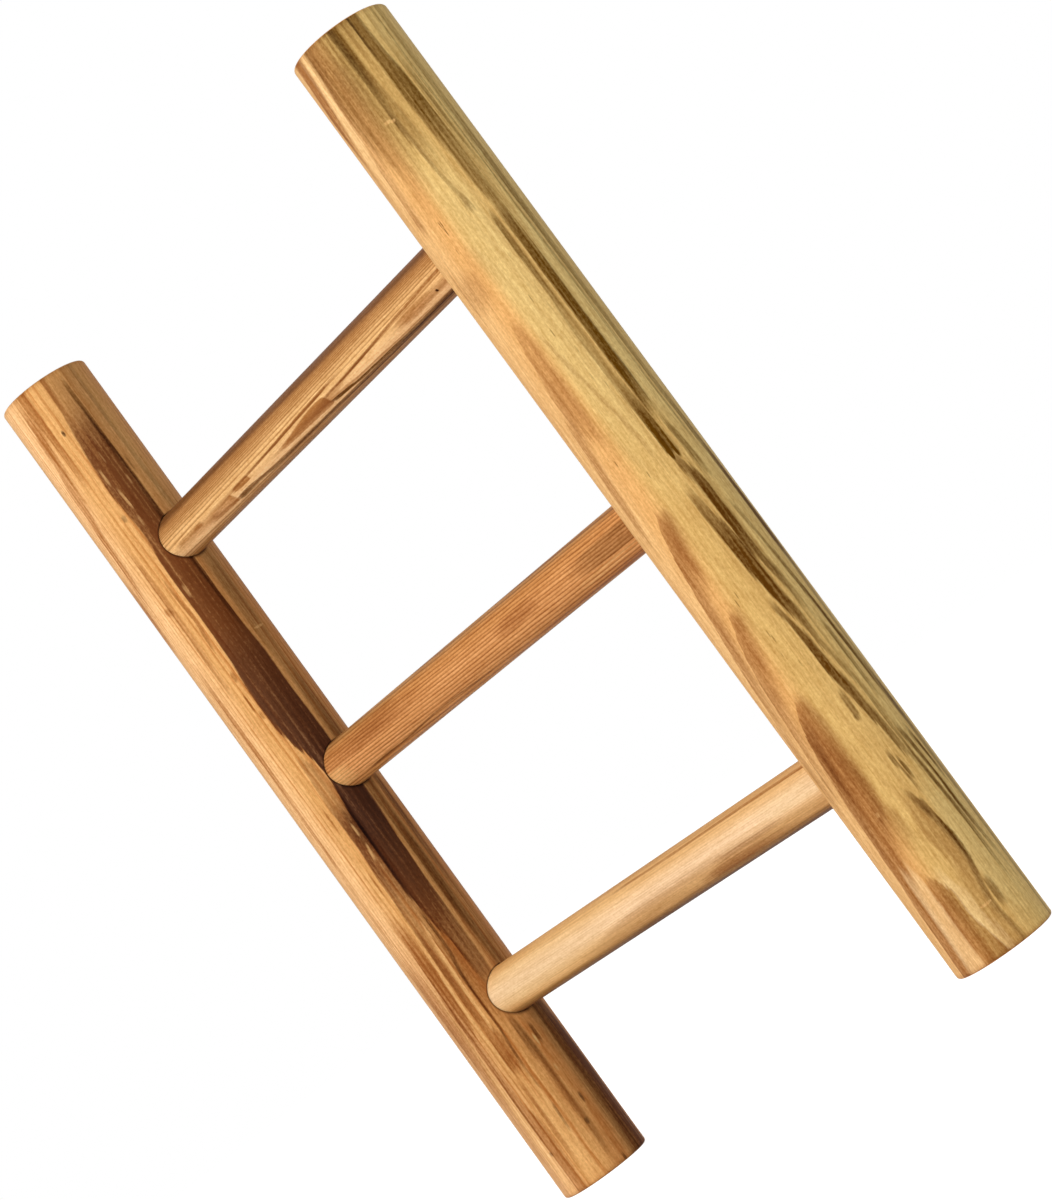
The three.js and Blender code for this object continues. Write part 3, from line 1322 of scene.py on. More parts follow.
GOLDEN = WoodFinish(
    slot="golden_pole",
    end_wood=Wood.COPPER,
    tones=((-180, Wood.TOFFEE), (-70, Wood.CARAMEL), (-14, Wood.APRICOT), (14, Wood.CARAMEL), (36, Wood.HAY),
           (62, Wood.HAY), (94, Wood.MAIZE), (130, Wood.MAIZE), (180, Wood.TOFFEE)),
    rings=RingFigure(pith_turn=22.5, pith_distance=112.0, lean=0.058, ring_width=2.8, waver=1.1),
    late_tint=Tint.SIENNA,
    late_strength=0.2,
    courses=(
        Course(((505, 109, 14, 40), (-12, 109, 14, 40)), Tint.STRAW, 8, 8),
        Course(((500, -14, 6, 95), (480, -16, 6, 98), (470, -19, 6, 95), (460, -21.5, 5.5, 90),
               (450, -23, 4, 70), (440, -25, 3, 40), (400, -29, 2, 0)), Tint.SIENNA, 3, 3),
        Course(((500, -1, 6, 20), (490, -2, 6, 20), (460, -7, 5, 20), (440, -10.5, 4.5, 15),
               (400, -17, 4, 0)), Tint.SHELL, 3, 2),
        Course(((440, 44, 10, 0), (400, 44, 13, 40), (330, 46, 12, 40), (280, 47, 10, 30), (235, 48, 8, 0)),
               Tint.STRAW, 8, 5),
        Course(((500, 7, 0.6, 30), (480, 5, 0.8, 50), (460, -1, 0.8, 50), (440, -4, 0.8, 50),
               (430, -7.5, 0.8, 55), (410, -11, 0.8, 50), (400, -12, 1, 60), (394, -13, 0.6, 0)),
               Tint.SIENNA, 1, 7),
        Course(((500, 23, 16, 46), (485, 23, 17, 50), (460, 22, 18, 54), (440, 22, 16, 46),
               (425, 22, 12, 26), (408, 22, 9, 0)), Tint.OLIVE, 5, 5),
        Course(((500, 41.5, 5, 72), (480, 42, 5, 72), (465, 42.5, 5, 62), (450, 44, 5, 50),
               (438, 45.5, 5.5, 44), (425, 46.5, 5.5, 32), (408, 48, 4, 0)), Tint.OLIVE, 1.5, 2),
        Course(((448, 40, 0.6, 0), (440, 41, 0.8, 35), (420, 43, 0.9, 40), (410, 45, 1, 40),
               (400, 48, 1.2, 45), (393, 49.5, 2.2, 50), (388, 50, 2, 0)), Tint.UMBER, 1, 1.5),
        Course(((500, 56, 6, 50), (488, 56, 6, 45), (470, 56, 5, 25), (440, 56, 4, 15), (415, 57, 3, 0)),
               Tint.OLIVE, 2, 1),
        Course(((500, 62, 0.8, 60), (475, 62.5, 0.8, 50), (466, 63, 0.8, 0)), Tint.UMBER, 1, 1),
        Course(((500, 68, 4, 72), (470, 69.5, 5.5, 74), (460, 70.5, 6.5, 80), (440, 72.5, 6.5, 78),
               (420, 74, 6, 62), (400, 75, 5, 55), (390, 77, 4, 50), (376, 78, 3, 0)), Tint.OLIVE, 3, 1.5),
        Course(((390, 75, 3, 0), (380, 75.5, 4.5, 62), (360, 77, 5, 80), (320, 77.5, 4.7, 86),
               (300, 78.5, 4.6, 88), (290, 79, 4.2, 78), (280, 79, 3.4, 50), (270, 79, 2, 0)), Tint.OLIVE, 2,
               1.2),
        Course(((388, 63, 0.5, 0), (382, 63.5, 1.2, 60), (345, 64.5, 1.4, 60), (330, 63.5, 3, 40),
               (300, 63.5, 3.2, 42), (290, 65, 4, 50), (275, 67, 5, 80), (258, 68.5, 5.5, 92),
               (255, 68.5, 5, 90), (253, 68.5, 4, 0)), Tint.OLIVE, 1.5, 2),
        Course(((256, 68, 1.5, 0), (252, 69.5, 2.5, 55), (240, 74.5, 4.5, 75), (230, 75.5, 4.5, 80),
               (220, 77, 4, 80), (210, 77.5, 3.5, 75), (200, 79, 3, 70), (190, 82.5, 2.5, 60),
               (180, 86, 2, 50), (170, 88, 1, 30), (160, 90, 0.8, 0)), Tint.UMBER, 2, 2),
        Course(((242, 57, 1, 0), (235, 58, 2, 40), (225, 60.5, 3.5, 65), (220, 62, 4, 70),
               (210, 64.5, 5.5, 80), (200, 66, 6, 85), (190, 67.5, 5.5, 85), (180, 70, 4, 80),
               (170, 73.5, 3.5, 70), (160, 75.5, 1.5, 60), (150, 77, 1, 50), (130, 84.5, 1, 40),
               (115, 88, 1, 30), (105, 90, 0.8, 0)), Tint.UMBER, 2, 2),
        Course(((182, 58, 0.5, 0), (176, 59, 1, 50), (170, 61.5, 1.5, 70), (160, 64.5, 2.5, 75),
               (150, 66, 3, 80), (140, 67.5, 3.5, 85), (130, 71, 3.8, 75), (120, 74, 3, 70),
               (110, 77.5, 2.5, 65), (100, 80, 2, 60), (90, 83, 1.2, 40), (80, 85, 1, 0)), Tint.UMBER, 1.5,
               2),
        Course(((134, 62, 1, 0), (129, 61.5, 2.2, 50), (119, 61, 2.2, 55), (115, 60.5, 1.5, 0)), Tint.UMBER,
               1, 1),
        Course(((100, 64, 0.8, 0), (96, 64, 1.4, 60), (91, 65, 1.2, 60), (84, 67, 1, 50), (74, 69, 0.8, 0)),
               Tint.UMBER, 1, 1),
        *spots(Tint.UMBER, (89, 70, 16, 1, 60, 2), (118, 59, 4, 1.4, 35)),
        Course(((274, 81, 1, 0), (266, 83.5, 1.8, 45), (258, 86, 2.3, 55), (248, 88, 2.3, 55),
               (240, 88.5, 1.5, 30), (236, 89, 1, 0)), Tint.OLIVE, 1.5, 1.5),
        Course(((228, 89, 0.8, 0), (220, 91, 1, 40), (200, 97, 1.2, 50), (185, 100, 1.6, 60),
               (170, 103, 2, 80), (150, 106, 2, 75), (130, 110, 2, 65), (110, 114, 2.5, 55),
               (95, 117, 2, 0)), Tint.UMBER, 1.5, 1.5),
        Course(((165, 94, 0.8, 0), (155, 95, 1.2, 50), (140, 96, 1.4, 50), (125, 97, 1.2, 40),
               (116, 98, 0.8, 0)), Tint.UMBER, 1, 1),
        Course(((130, 84, 0.8, 20), (100, 87, 1, 50), (90, 88, 1, 65), (60, 92, 1.2, 65), (40, 93.5, 1, 40),
               (20, 94, 0.8, 0)), Tint.UMBER, 1.2, 1.2),
        Course(((110, 91, 0.8, 0), (100, 93, 1.2, 70), (80, 97, 1.5, 80), (60, 98, 1.4, 70),
               (40, 102, 1.1, 40), (20, 105, 1, 0)), Tint.UMBER, 1.5, 1.5),
        Course(((105, 103, 0.8, 0), (96, 104, 1.6, 80), (82, 106, 1.5, 70), (70, 107, 1, 0)), Tint.UMBER, 1,
               1.2),
        Course(((500, 102, 2.5, 25), (440, 102.5, 3, 40), (420, 103, 3.5, 50), (390, 103.5, 3.5, 55),
               (330, 105.5, 2.5, 45), (290, 107.5, 2, 45), (250, 112.5, 3.5, 70), (230, 115, 3.5, 85),
               (205, 117, 4, 85), (180, 117, 3, 50), (140, 115, 2, 40), (100, 115, 3, 50), (60, 117, 3, 40),
               (-8, 118, 3, 30)), Tint.OLIVE, 1.5, 2),
        Course(((500, 93, 0.9, 35), (440, 93, 0.9, 40), (375, 95, 0.9, 40), (340, 97, 1, 35),
               (310, 98, 1, 30), (270, 101, 1, 30), (250, 103, 1, 0)), Tint.OLIVE, 1, 1),
        Course(((500, 96.5, 1.2, 25), (400, 97.5, 1.2, 25), (380, 98, 1, 0)), Tint.STRAW, 1, 1),
        Course(((470, 86, 0.8, 0), (455, 87, 1.2, 40), (420, 88, 1, 40), (405, 89, 0.8, 0)), Tint.OLIVE, 1,
               1),
        Course(((385, 88, 3, 0), (372, 89, 4.5, 35), (330, 89, 5, 40), (285, 89, 4, 25), (268, 89, 3, 0)),
               Tint.STRAW, 2, 3),
        Course(((500, 81, 6, 30), (480, 81, 6, 30), (462, 82, 5, 10), (455, 83, 4, 0)), Tint.STRAW, 3, 3),
        Course(((84, 77, 4, 0), (70, 77, 6, 45), (45, 77, 7, 50), (20, 78, 6, 40), (0, 78, 5, 10),
               (-8, 78, 5, 10)), Tint.STRAW, 3, 4),
        Course(((335, 29, 0.6, 0), (325, 31.5, 0.8, 30), (300, 40, 0.8, 30), (280, 47, 0.8, 30),
               (260, 51, 0.8, 20), (250, 52, 0.6, 0)), Tint.SIENNA, 1, 1.5),
        Course(((376, -1, 4, 0), (368, -1, 7, 35), (358, -1, 7, 30), (348, -1, 4, 0)), Tint.SIENNA, 6, 6),
        Course(((385, -17, 0.6, 0), (372, -18, 0.8, 40), (355, -18, 0.8, 35), (348, -18, 0.6, 0)),
               Tint.SIENNA, 1, 1),
        Course(((344, 13, 0.8, 0), (338, 12.5, 2.5, 35), (330, 11.5, 4.8, 45), (320, 10.5, 6.5, 45),
               (310, 9, 9, 50), (300, 8, 9.5, 55), (290, 8, 9, 50), (281, 8, 8, 30), (273, 8, 6, 0)),
               Tint.SIENNA, 1.2, 6),
        Course(((300, -3.5, 1, 0), (290, -5, 3, 40), (280, -7, 3, 50), (270, -8.5, 3.5, 55),
               (260, -11, 4, 55), (250, -12, 4, 50), (238, -14, 3.5, 40), (222, -18, 3, 0)), Tint.SIENNA, 1,
               3),
        Course(((241, 21, 3, 0), (236, 19, 4, 50), (230, 15, 5, 65), (220, 10, 5.5, 75), (210, 7, 6, 75),
               (202, 3, 5, 65), (194, -1, 3.5, 60), (180, -6, 3, 65), (170, -10, 3, 65),
               (160, -13.5, 2.8, 60), (150, -16.5, 2.8, 50), (135, -21, 2.5, 30), (120, -24, 2, 0)),
               Tint.SIENNA, 0.7, 9),
        Course(((188, 19, 1, 0), (183, 17, 2, 50), (175, 12, 3, 65), (165, 7.5, 5, 70), (159, 5, 5, 65),
               (152, 1, 4, 60), (145, -1.5, 3, 65), (140, -3.5, 2.2, 60), (130, -6, 1.8, 55),
               (115, -10, 1.8, 40), (100, -14, 1.8, 20), (90, -17, 1.6, 0)), Tint.SIENNA, 0.7, 10),
        Course(((142, 21, 1, 0), (137, 20, 3.5, 55), (130, 18, 8, 62), (125, 16, 10, 66), (110, 13, 13, 70),
               (100, 12, 14.5, 70), (90, 10, 15.5, 68), (80, 7, 14, 64), (72, 2.5, 10, 64), (66, 0, 8.5, 68),
               (58, -2.5, 8, 72), (50, -4.5, 7, 74), (40, -8, 5.5, 76), (30, -9, 5.5, 76),
               (20, -10.5, 5.5, 78), (10, -12, 5.5, 78), (-8, -14, 5, 78)), Tint.SIENNA, 0.8, 7),
        Course(((132, 14, 2, 0), (118, 13, 6, 25), (100, 16, 10, 35), (82, 16, 9, 30), (64, 12, 6, 0)),
               Tint.CHESTNUT, 3, 5),
        Course(((135, 12, 1, 0), (125, 9, 3, 30), (110, 3, 4, 35), (90, -3, 3.5, 35), (70, -6, 3, 25),
               (55, -9, 2, 0)), Tint.SIENNA, 1, 5),
        Course(((84, 24, 7, 0), (76, 24, 9, 35), (64, 24, 9, 25), (52, 24, 8, 0)), Tint.SIENNA, 3, 4),
        Course(((56, 5, 4, 0), (48, 6, 6, 35), (30, 7, 8, 40), (15, 6, 9, 40), (-8, 5, 10, 40)), Tint.SHELL,
               2, 3),
        Course(((46, 24, 1, 0), (43, 24, 2.5, 55), (40, 25, 4.5, 62), (36, 26, 6.5, 66), (33, 27, 7.5, 68),
               (22, 27, 7.5, 68), (17, 28, 8, 68), (13, 29.5, 9, 70), (10, 31, 10, 70), (5, 33, 11, 70),
               (-8, 36, 13, 70)), Tint.SIENNA, 5, 1),
        Course(((48, 31, 3, 0), (40, 34, 3, 30), (33, 38.5, 3.5, 35), (22, 39, 4, 35), (13, 43.5, 4, 35),
               (5, 48, 3, 30), (-8, 52, 2, 30)), Tint.SHELL, 1.5, 3),
        Course(((84, 55, 0.6, 0), (80, 57, 0.9, 30), (75, 60, 1.1, 45), (70, 62.5, 1.3, 60),
               (65, 65, 1.5, 70), (60, 66.5, 1.6, 80), (50, 68, 1.6, 75), (45, 68, 1.4, 70),
               (40, 67, 1.2, 60), (30, 63, 1.2, 50), (20, 60.5, 1.3, 45), (10, 63, 1.4, 40),
               (-8, 68, 1.6, 30)), Tint.UMBER, 3, 1),
        Course(((84, 54, 2, 0), (75, 56, 5, 30), (60, 56, 10, 40), (50, 60, 8, 40), (35, 57.5, 7.5, 35),
               (20, 54, 6.5, 35), (10, 56, 6.5, 35), (-8, 57, 8, 40)), Tint.SIENNA, 4, 1),
        Course(((33, 68, 1.5, 0), (29, 68.5, 2.5, 55), (20, 68.5, 2.5, 55), (16, 69, 2, 0)), Tint.UMBER, 1,
               1.5),
        Course(((115, -13, 0.6, 0), (108, -13, 0.9, 35), (96, -13, 0.8, 30), (90, -13, 0.6, 0)), Tint.SIENNA,
               1, 1),
        Course(((138, -24, 2, 0), (125, -24.5, 3, 40), (95, -24, 3, 35), (82, -24, 2, 0)), Tint.SIENNA, 3,
               3),
        *spots(Tint.HONEY, (444, 33, 2.2, 2.4, 55), (443, 38, 2, 2, 50), (22, 53, 1.8, 5.5, 50),
               (79, 18, 3, 1.2, 40)),
        *far_veins(11, 4, 128.0, 176.0, Tint.OLIVE),
        *far_veins(12, 6, -176.0, -44.0, Tint.CHESTNUT),
    ),
    dash_strength=0.12,
    dash_zones=(
        Course(((405, 15, 4, 0), (400, 15, 4, 60), (380, 17, 4, 60), (376, 17, 3, 0)), low_soft=2,
               high_soft=2),
        Course(((372, 33, 2, 0), (367, 34, 3, 50), (358, 40, 4, 50), (323, 45, 3, 45), (302, 52, 3, 40),
               (284, 53, 3, 0)), low_soft=2, high_soft=2),
        Course(((275, 12, 5, 0), (270, 14, 6, 55), (262, 22, 10, 55), (252, 37, 4, 50), (248, 38, 3, 0)),
               low_soft=2, high_soft=2),
        Course(((210, 30, 4, 0), (200, 34, 6, 50), (155, 38, 8, 40), (135, 40, 3, 0)), low_soft=2,
               high_soft=2),
    ),
    joint_heights=RUNG_HEIGHTS,
    joint_facing=-1.0,
)

AMBER = WoodFinish(
    slot="amber_pole",
    tones=((-180, Wood.NUT), (-75, Wood.TOFFEE), (-4, Wood.PEACH), (32, Wood.CARAMEL), (98, Wood.TOFFEE),
           (124, Wood.COPPER), (180, Wood.NUT)),
    rings=RingFigure(pith_turn=-105.0, pith_distance=80.0, lean=0.006, ring_width=1.7,
                     waver=1.2, unevenness=0.9),
    late_tint=Tint.GINGER,
    late_strength=0.75,
    courses=(
        Course(((500, 64, 7, 15), (485, 64, 8, 25), (470, 65, 11, 40), (460, 64, 13, 70),
               (450, 63.5, 14.5, 85), (440, 63, 16, 92), (430, 62.3, 16.8, 95), (420, 62.3, 17.3, 95),
               (400, 64, 16, 95), (390, 64, 16, 95), (380, 62.5, 16.5, 95), (365, 62.5, 17, 95),
               (350, 63.3, 16.8, 97), (335, 63.8, 17.8, 100), (315, 64, 19.5, 100), (305, 63, 21, 100),
               (290, 62.8, 21.3, 100), (275, 64, 21, 100), (265, 66.5, 18.5, 100), (255, 69.5, 15.5, 100),
               (245, 72, 14, 100), (235, 71, 14.3, 100), (220, 69.5, 15.5, 100), (200, 68.5, 14.5, 100),
               (175, 66.8, 13.8, 100), (160, 68, 12, 90), (150, 69, 11, 80), (140, 71, 9, 70),
               (128, 72, 8, 65), (116, 72, 7, 50), (98, 72, 6, 0)), Tint.COCOA, 1.6, 1.6),
        Course(((340, 63, 16, 0), (318, 64, 19, 35), (300, 63, 20, 50), (280, 64, 20, 60), (262, 68, 17, 70),
               (245, 72, 13, 85), (225, 70, 15, 85), (205, 69, 14, 75), (190, 67.5, 14, 60),
               (175, 67, 13, 45), (160, 68, 12, 20), (148, 69, 11, 0)), Tint.DUSK, 1.5, 1.5),
        Course(((262, 40, 1, 0), (255, 43, 4, 30), (245, 45.5, 7.5, 35), (232, 46, 9.5, 40),
               (222, 45.5, 9, 70), (205, 45.5, 8.5, 80), (190, 44.8, 9, 75), (175, 44.5, 9, 65),
               (165, 44.5, 9.5, 50), (150, 43, 9, 35), (135, 43, 10, 25), (118, 42, 9, 20), (100, 42, 8, 0)),
               Tint.COCOA, 1.2, 2),
        Course(((228, 50, 2, 0), (218, 50, 4.5, 50), (206, 50, 4.5, 50), (196, 51, 2, 0)), Tint.COCOA, 3, 1),
        Course(((165, 56, 3, 0), (155, 57, 4, 43), (140, 57, 6, 65), (125, 57.5, 7.5, 72), (110, 57, 8, 58),
               (98, 56, 7, 36), (88, 55, 5, 0)), Tint.CHESTNUT, 2, 2),
        Course(((490, 77, 0.8, 0), (482, 77, 1.2, 50), (470, 77.5, 1.5, 65), (440, 79, 1.6, 65),
               (420, 79.5, 1.5, 55), (375, 78.5, 1.4, 55), (340, 80, 1.4, 45), (325, 81, 1.2, 0)),
               Tint.UMBER, 2, 1),
        Course(((500, 57, 1, 43), (480, 57, 1, 51), (466, 56, 0.8, 0)), Tint.CHESTNUT, 2, 2),
        Course(((500, 13, 0.8, 29), (485, 13.5, 1.2, 43), (478, 13, 3, 65), (470, 12.5, 4.2, 80),
               (460, 10, 4, 87), (450, 8.5, 4, 72), (443, 6, 5, 70), (436, 3, 5.5, 70), (428, 1.5, 5, 70),
               (420, 0, 4, 72), (410, -3, 2.5, 87), (400, -3, 2, 80), (390, -4, 2.5, 72), (380, -6, 3.5, 58),
               (370, -9, 3, 29), (355, -12, 2, 0)), Tint.CHESTNUT, 1, 4),
        Course(((500, 25, 5, 80), (480, 25, 4.8, 72), (470, 25, 3.5, 72), (460, 25.5, 3, 65),
               (440, 26.5, 3, 43), (428, 26, 2, 0)), Tint.CHESTNUT, 0.8, 2),
        Course(((400, 19, 0.8, 0), (385, 20, 1.4, 58), (372, 20.5, 1.6, 65), (355, 21, 1.6, 72),
               (340, 20.5, 1.6, 65), (325, 19.5, 1.6, 58), (310, 20, 1.2, 36), (295, 20, 0.8, 0)),
               Tint.CHESTNUT, 1.5, 2),
        *spots(Tint.CHESTNUT, (357, 16, 7, 4.5, 50, 3)),
        Course(((375, 36, 0.6, 0), (368, 35, 0.9, 51), (357, 36.5, 1, 72), (345, 38, 1, 72),
               (333, 36, 0.9, 58), (326, 35, 0.6, 0)), Tint.CHESTNUT, 1, 1),
        *spots(Tint.CHESTNUT, (311, 36, 8, 1.6, 65), (287, 36, 6, 0.9, 58), (296, 32.3, 14, 0.9, 94),
               (224, 29, 20, 0.8, 72), (184, 28.2, 18, 0.8, 65)),
        Course(((330, -3, 1, 0), (310, -3.5, 1.6, 65), (290, -3.5, 2.2, 72), (268, -3, 2.5, 80),
               (250, -4, 2, 72), (232, -5, 1.6, 65), (210, -5.5, 1.6, 65), (195, -7.5, 1.4, 43),
               (165, -8, 1.2, 36), (150, -9, 1, 0)), Tint.CHESTNUT, 2, 2),
        Course(((390, -25, 3, 0), (372, -25, 5, 65), (350, -25, 5, 58), (335, -24, 3, 0)), Tint.CHESTNUT, 3,
               4),
        Course(((500, 89, 6, 30), (470, 89, 6, 35), (445, 88, 5, 25), (420, 87, 4, 10), (400, 86, 3, 0)),
               Tint.SIENNA, 3, 5),
        Course(((500, 97, 0.8, 20), (470, 97.5, 1.1, 35), (440, 98, 1.2, 35), (410, 100, 1.5, 40),
               (392, 102, 1, 0)), Tint.UMBER, 2, 2),
        *spots(Tint.UMBER, (431, 86, 14, 0.9, 40)),
        Course(((180, 20, 34, 0), (130, 20, 34, 32), (60, 20, 34, 29), (20, 20, 34, 14), (-8, 20, 34, 7)),
               Tint.CHESTNUT, 12, 12),
        Course(((500, 108, 14, 30), (430, 108, 14, 35), (350, 108, 14, 15), (320, 108, 12, 0)), Tint.HONEY,
               8, 8),
        Course(((378, 95, 3, 0), (365, 97, 6, 35), (345, 98, 6.5, 40), (325, 98, 6, 30), (305, 99, 4, 25),
               (290, 101, 5, 40), (265, 102, 5.5, 50), (250, 101, 5, 45), (236, 97, 4, 45), (222, 94, 4, 50),
               (205, 94, 4, 60), (185, 94.5, 4, 70), (165, 94.5, 4, 70), (145, 95, 3.5, 60),
               (128, 97, 4, 45), (112, 100, 5, 35), (100, 104, 6, 35), (88, 108, 8, 30), (75, 112, 9, 0)),
               Tint.UMBER, 4, 4),
        # Painted shade beside and below the bottom rung on the pole's inner side, down to the foot.
        Course(((112, 106, 5, 0), (95, 109, 7, 45), (80, 112, 8, 75), (60, 114, 9, 90), (-8, 114, 9, 90)),
               Tint.UMBER, 12, 8),
        Course(((245, 111, 2, 0), (228, 112, 3.5, 55), (200, 112.5, 3.5, 60), (170, 112.5, 3, 45),
               (150, 113, 3, 30), (130, 113, 3, 20), (110, 113, 3, 0)), Tint.UMBER, 2, 3),
        Course(((172, 18, 3, 0), (160, 19, 5, 36), (150, 19.5, 5.5, 65), (140, 19, 6.5, 80),
               (130, 18.5, 7, 87), (115, 17.5, 6.5, 80), (100, 15, 5.5, 65), (90, 12.5, 2.5, 58),
               (75, 12, 2, 51), (60, 11, 3, 51), (50, 12, 4.5, 58), (40, 14, 6.5, 70), (20, 14.5, 6.5, 70),
               (-8, 14, 6, 58)), Tint.CHESTNUT, 1, 2),
        Course(((132, 11, 0.6, 0), (120, 10, 0.8, 58), (90, 9.5, 0.9, 65), (70, 9.5, 0.9, 65),
               (55, 8, 0.8, 51), (40, 7, 0.8, 43), (25, 7.5, 0.6, 0)), Tint.CHESTNUT, 0.8, 2),
        Course(((158, 34, 1, 0), (148, 35, 2, 58), (130, 34.5, 2.8, 72), (115, 34, 3, 72),
               (100, 34.5, 2.5, 65), (92, 36.5, 4, 58), (80, 37.5, 7, 72), (70, 37.5, 7, 72),
               (64, 37, 5, 0)), Tint.CHESTNUT, 1.5, 2),
        Course(((163, 53, 0.5, 0), (157, 53, 0.8, 45), (136, 53, 0.8, 50), (130, 50.5, 1, 50),
               (120, 48, 1.1, 55), (105, 47.8, 1.1, 50), (90, 48, 1, 55), (83, 46.5, 1, 55), (74, 45, 1, 50),
               (66, 44.3, 0.9, 35), (56, 45, 0.8, 30), (52, 45.5, 0.5, 0)), Tint.UMBER, 1, 1),
        *spots(Tint.UMBER, (37, 45.7, 22, 0.9, 55, -2)),
        Course(((150, -8, 3, 0), (135, -6, 7, 36), (115, -5, 9, 58), (95, -5, 9, 65), (80, -6, 8, 58),
               (65, -8, 6, 43), (50, -11, 4, 36), (20, -13, 3, 29), (-8, -14, 3, 14)), Tint.CHESTNUT, 3, 2),
        Course(((66, 30, 0.6, 0), (58, 30, 1.2, 51), (35, 30, 1.4, 51), (18, 30, 1, 29), (8, 30, 0.6, 0)),
               Tint.CHESTNUT, 1, 1.5),
        Course(((98, 65, 1, 0), (90, 65.5, 1.8, 45), (75, 66, 2.8, 60), (66, 66.5, 2.5, 50),
               (50, 66.5, 2, 45), (36, 66.5, 2, 45), (20, 67, 1.8, 40), (10, 66, 1.2, 20), (0, 66, 0.8, 0)),
               Tint.UMBER, 2, 2),
        Course(((135, 6, 0.8, 0), (120, 5.5, 1.2, 25), (100, 5, 1.5, 35), (85, 4, 2, 40), (70, 2.5, 3, 45),
               (55, 1.5, 4, 45), (40, 1.5, 4.5, 45), (20, 0, 4.5, 40), (-8, 0, 4.5, 35)), Tint.HONEY, 3, 1),
        Course(((165, 31, 0.8, 0), (150, 30, 1.4, 40), (130, 28.5, 1.5, 55), (110, 26.5, 1.2, 60),
               (90, 27, 1, 60), (72, 28, 0.9, 50), (64, 28.5, 0.6, 0)), Tint.HONEY, 1, 1),
        Course(((160, 46, 0.5, 0), (155, 45.5, 0.8, 35), (149, 45, 1.1, 75), (145, 44, 0.8, 40),
               (140, 43, 0.8, 65), (128, 42.5, 0.9, 70), (118, 41.5, 0.8, 55), (105, 40.5, 0.9, 45),
               (94, 40, 0.8, 45), (90, 39.5, 0.5, 0)), Tint.HONEY, 0.8, 0.8),
        Course(((62, 36, 3, 0), (50, 37.5, 4.5, 30), (25, 38, 5.5, 35), (-8, 38, 6, 40)), Tint.HONEY, 2, 3),
        *spots(Tint.HONEY, (186, 25.2, 24, 0.7, 50), (431.5, 49.3, 13, 0.6, 50),
               (416.5, 54.3, 16, 0.5, 50, 2.5), (403, 54, 8, 0.4, 30), (441, 61.2, 9, 0.5, 30),
               (360.5, 50, 9, 0.6, 40), (424, 72, 8, 0.5, 25), (212.5, 46.4, 10, 0.6, 50),
               (199, 45.5, 12, 0.6, 50, -3.5), (325.5, 99.5, 2, 7, 50)),
        *spots(Tint.STRAW, (75, 75.5, 9, 1.1, 55), (58, 75, 6, 0.8, 25)),
        *spots(Tint.UMBER, (78, 79.7, 15, 0.9, 60)),
        *spots(Tint.BITTER, (462, 40, 4.5, 1.5, 75), (408.5, 40, 5, 1.3, 40), (27.5, 67, 5, 1.6, 50),
               (38.5, 79, 8, 1.1, 55), (24, 7, 3.5, 1.6, 40), (1, 79, 10, 0.9, 50)),
        *far_veins(21, 3, 134.0, 176.0, Tint.CHESTNUT),
        *far_veins(22, 6, -176.0, -34.0, Tint.UMBER),
    ),
    dash_strength=0.1,
    joint_heights=RUNG_HEIGHTS,
    joint_facing=1.0,
)

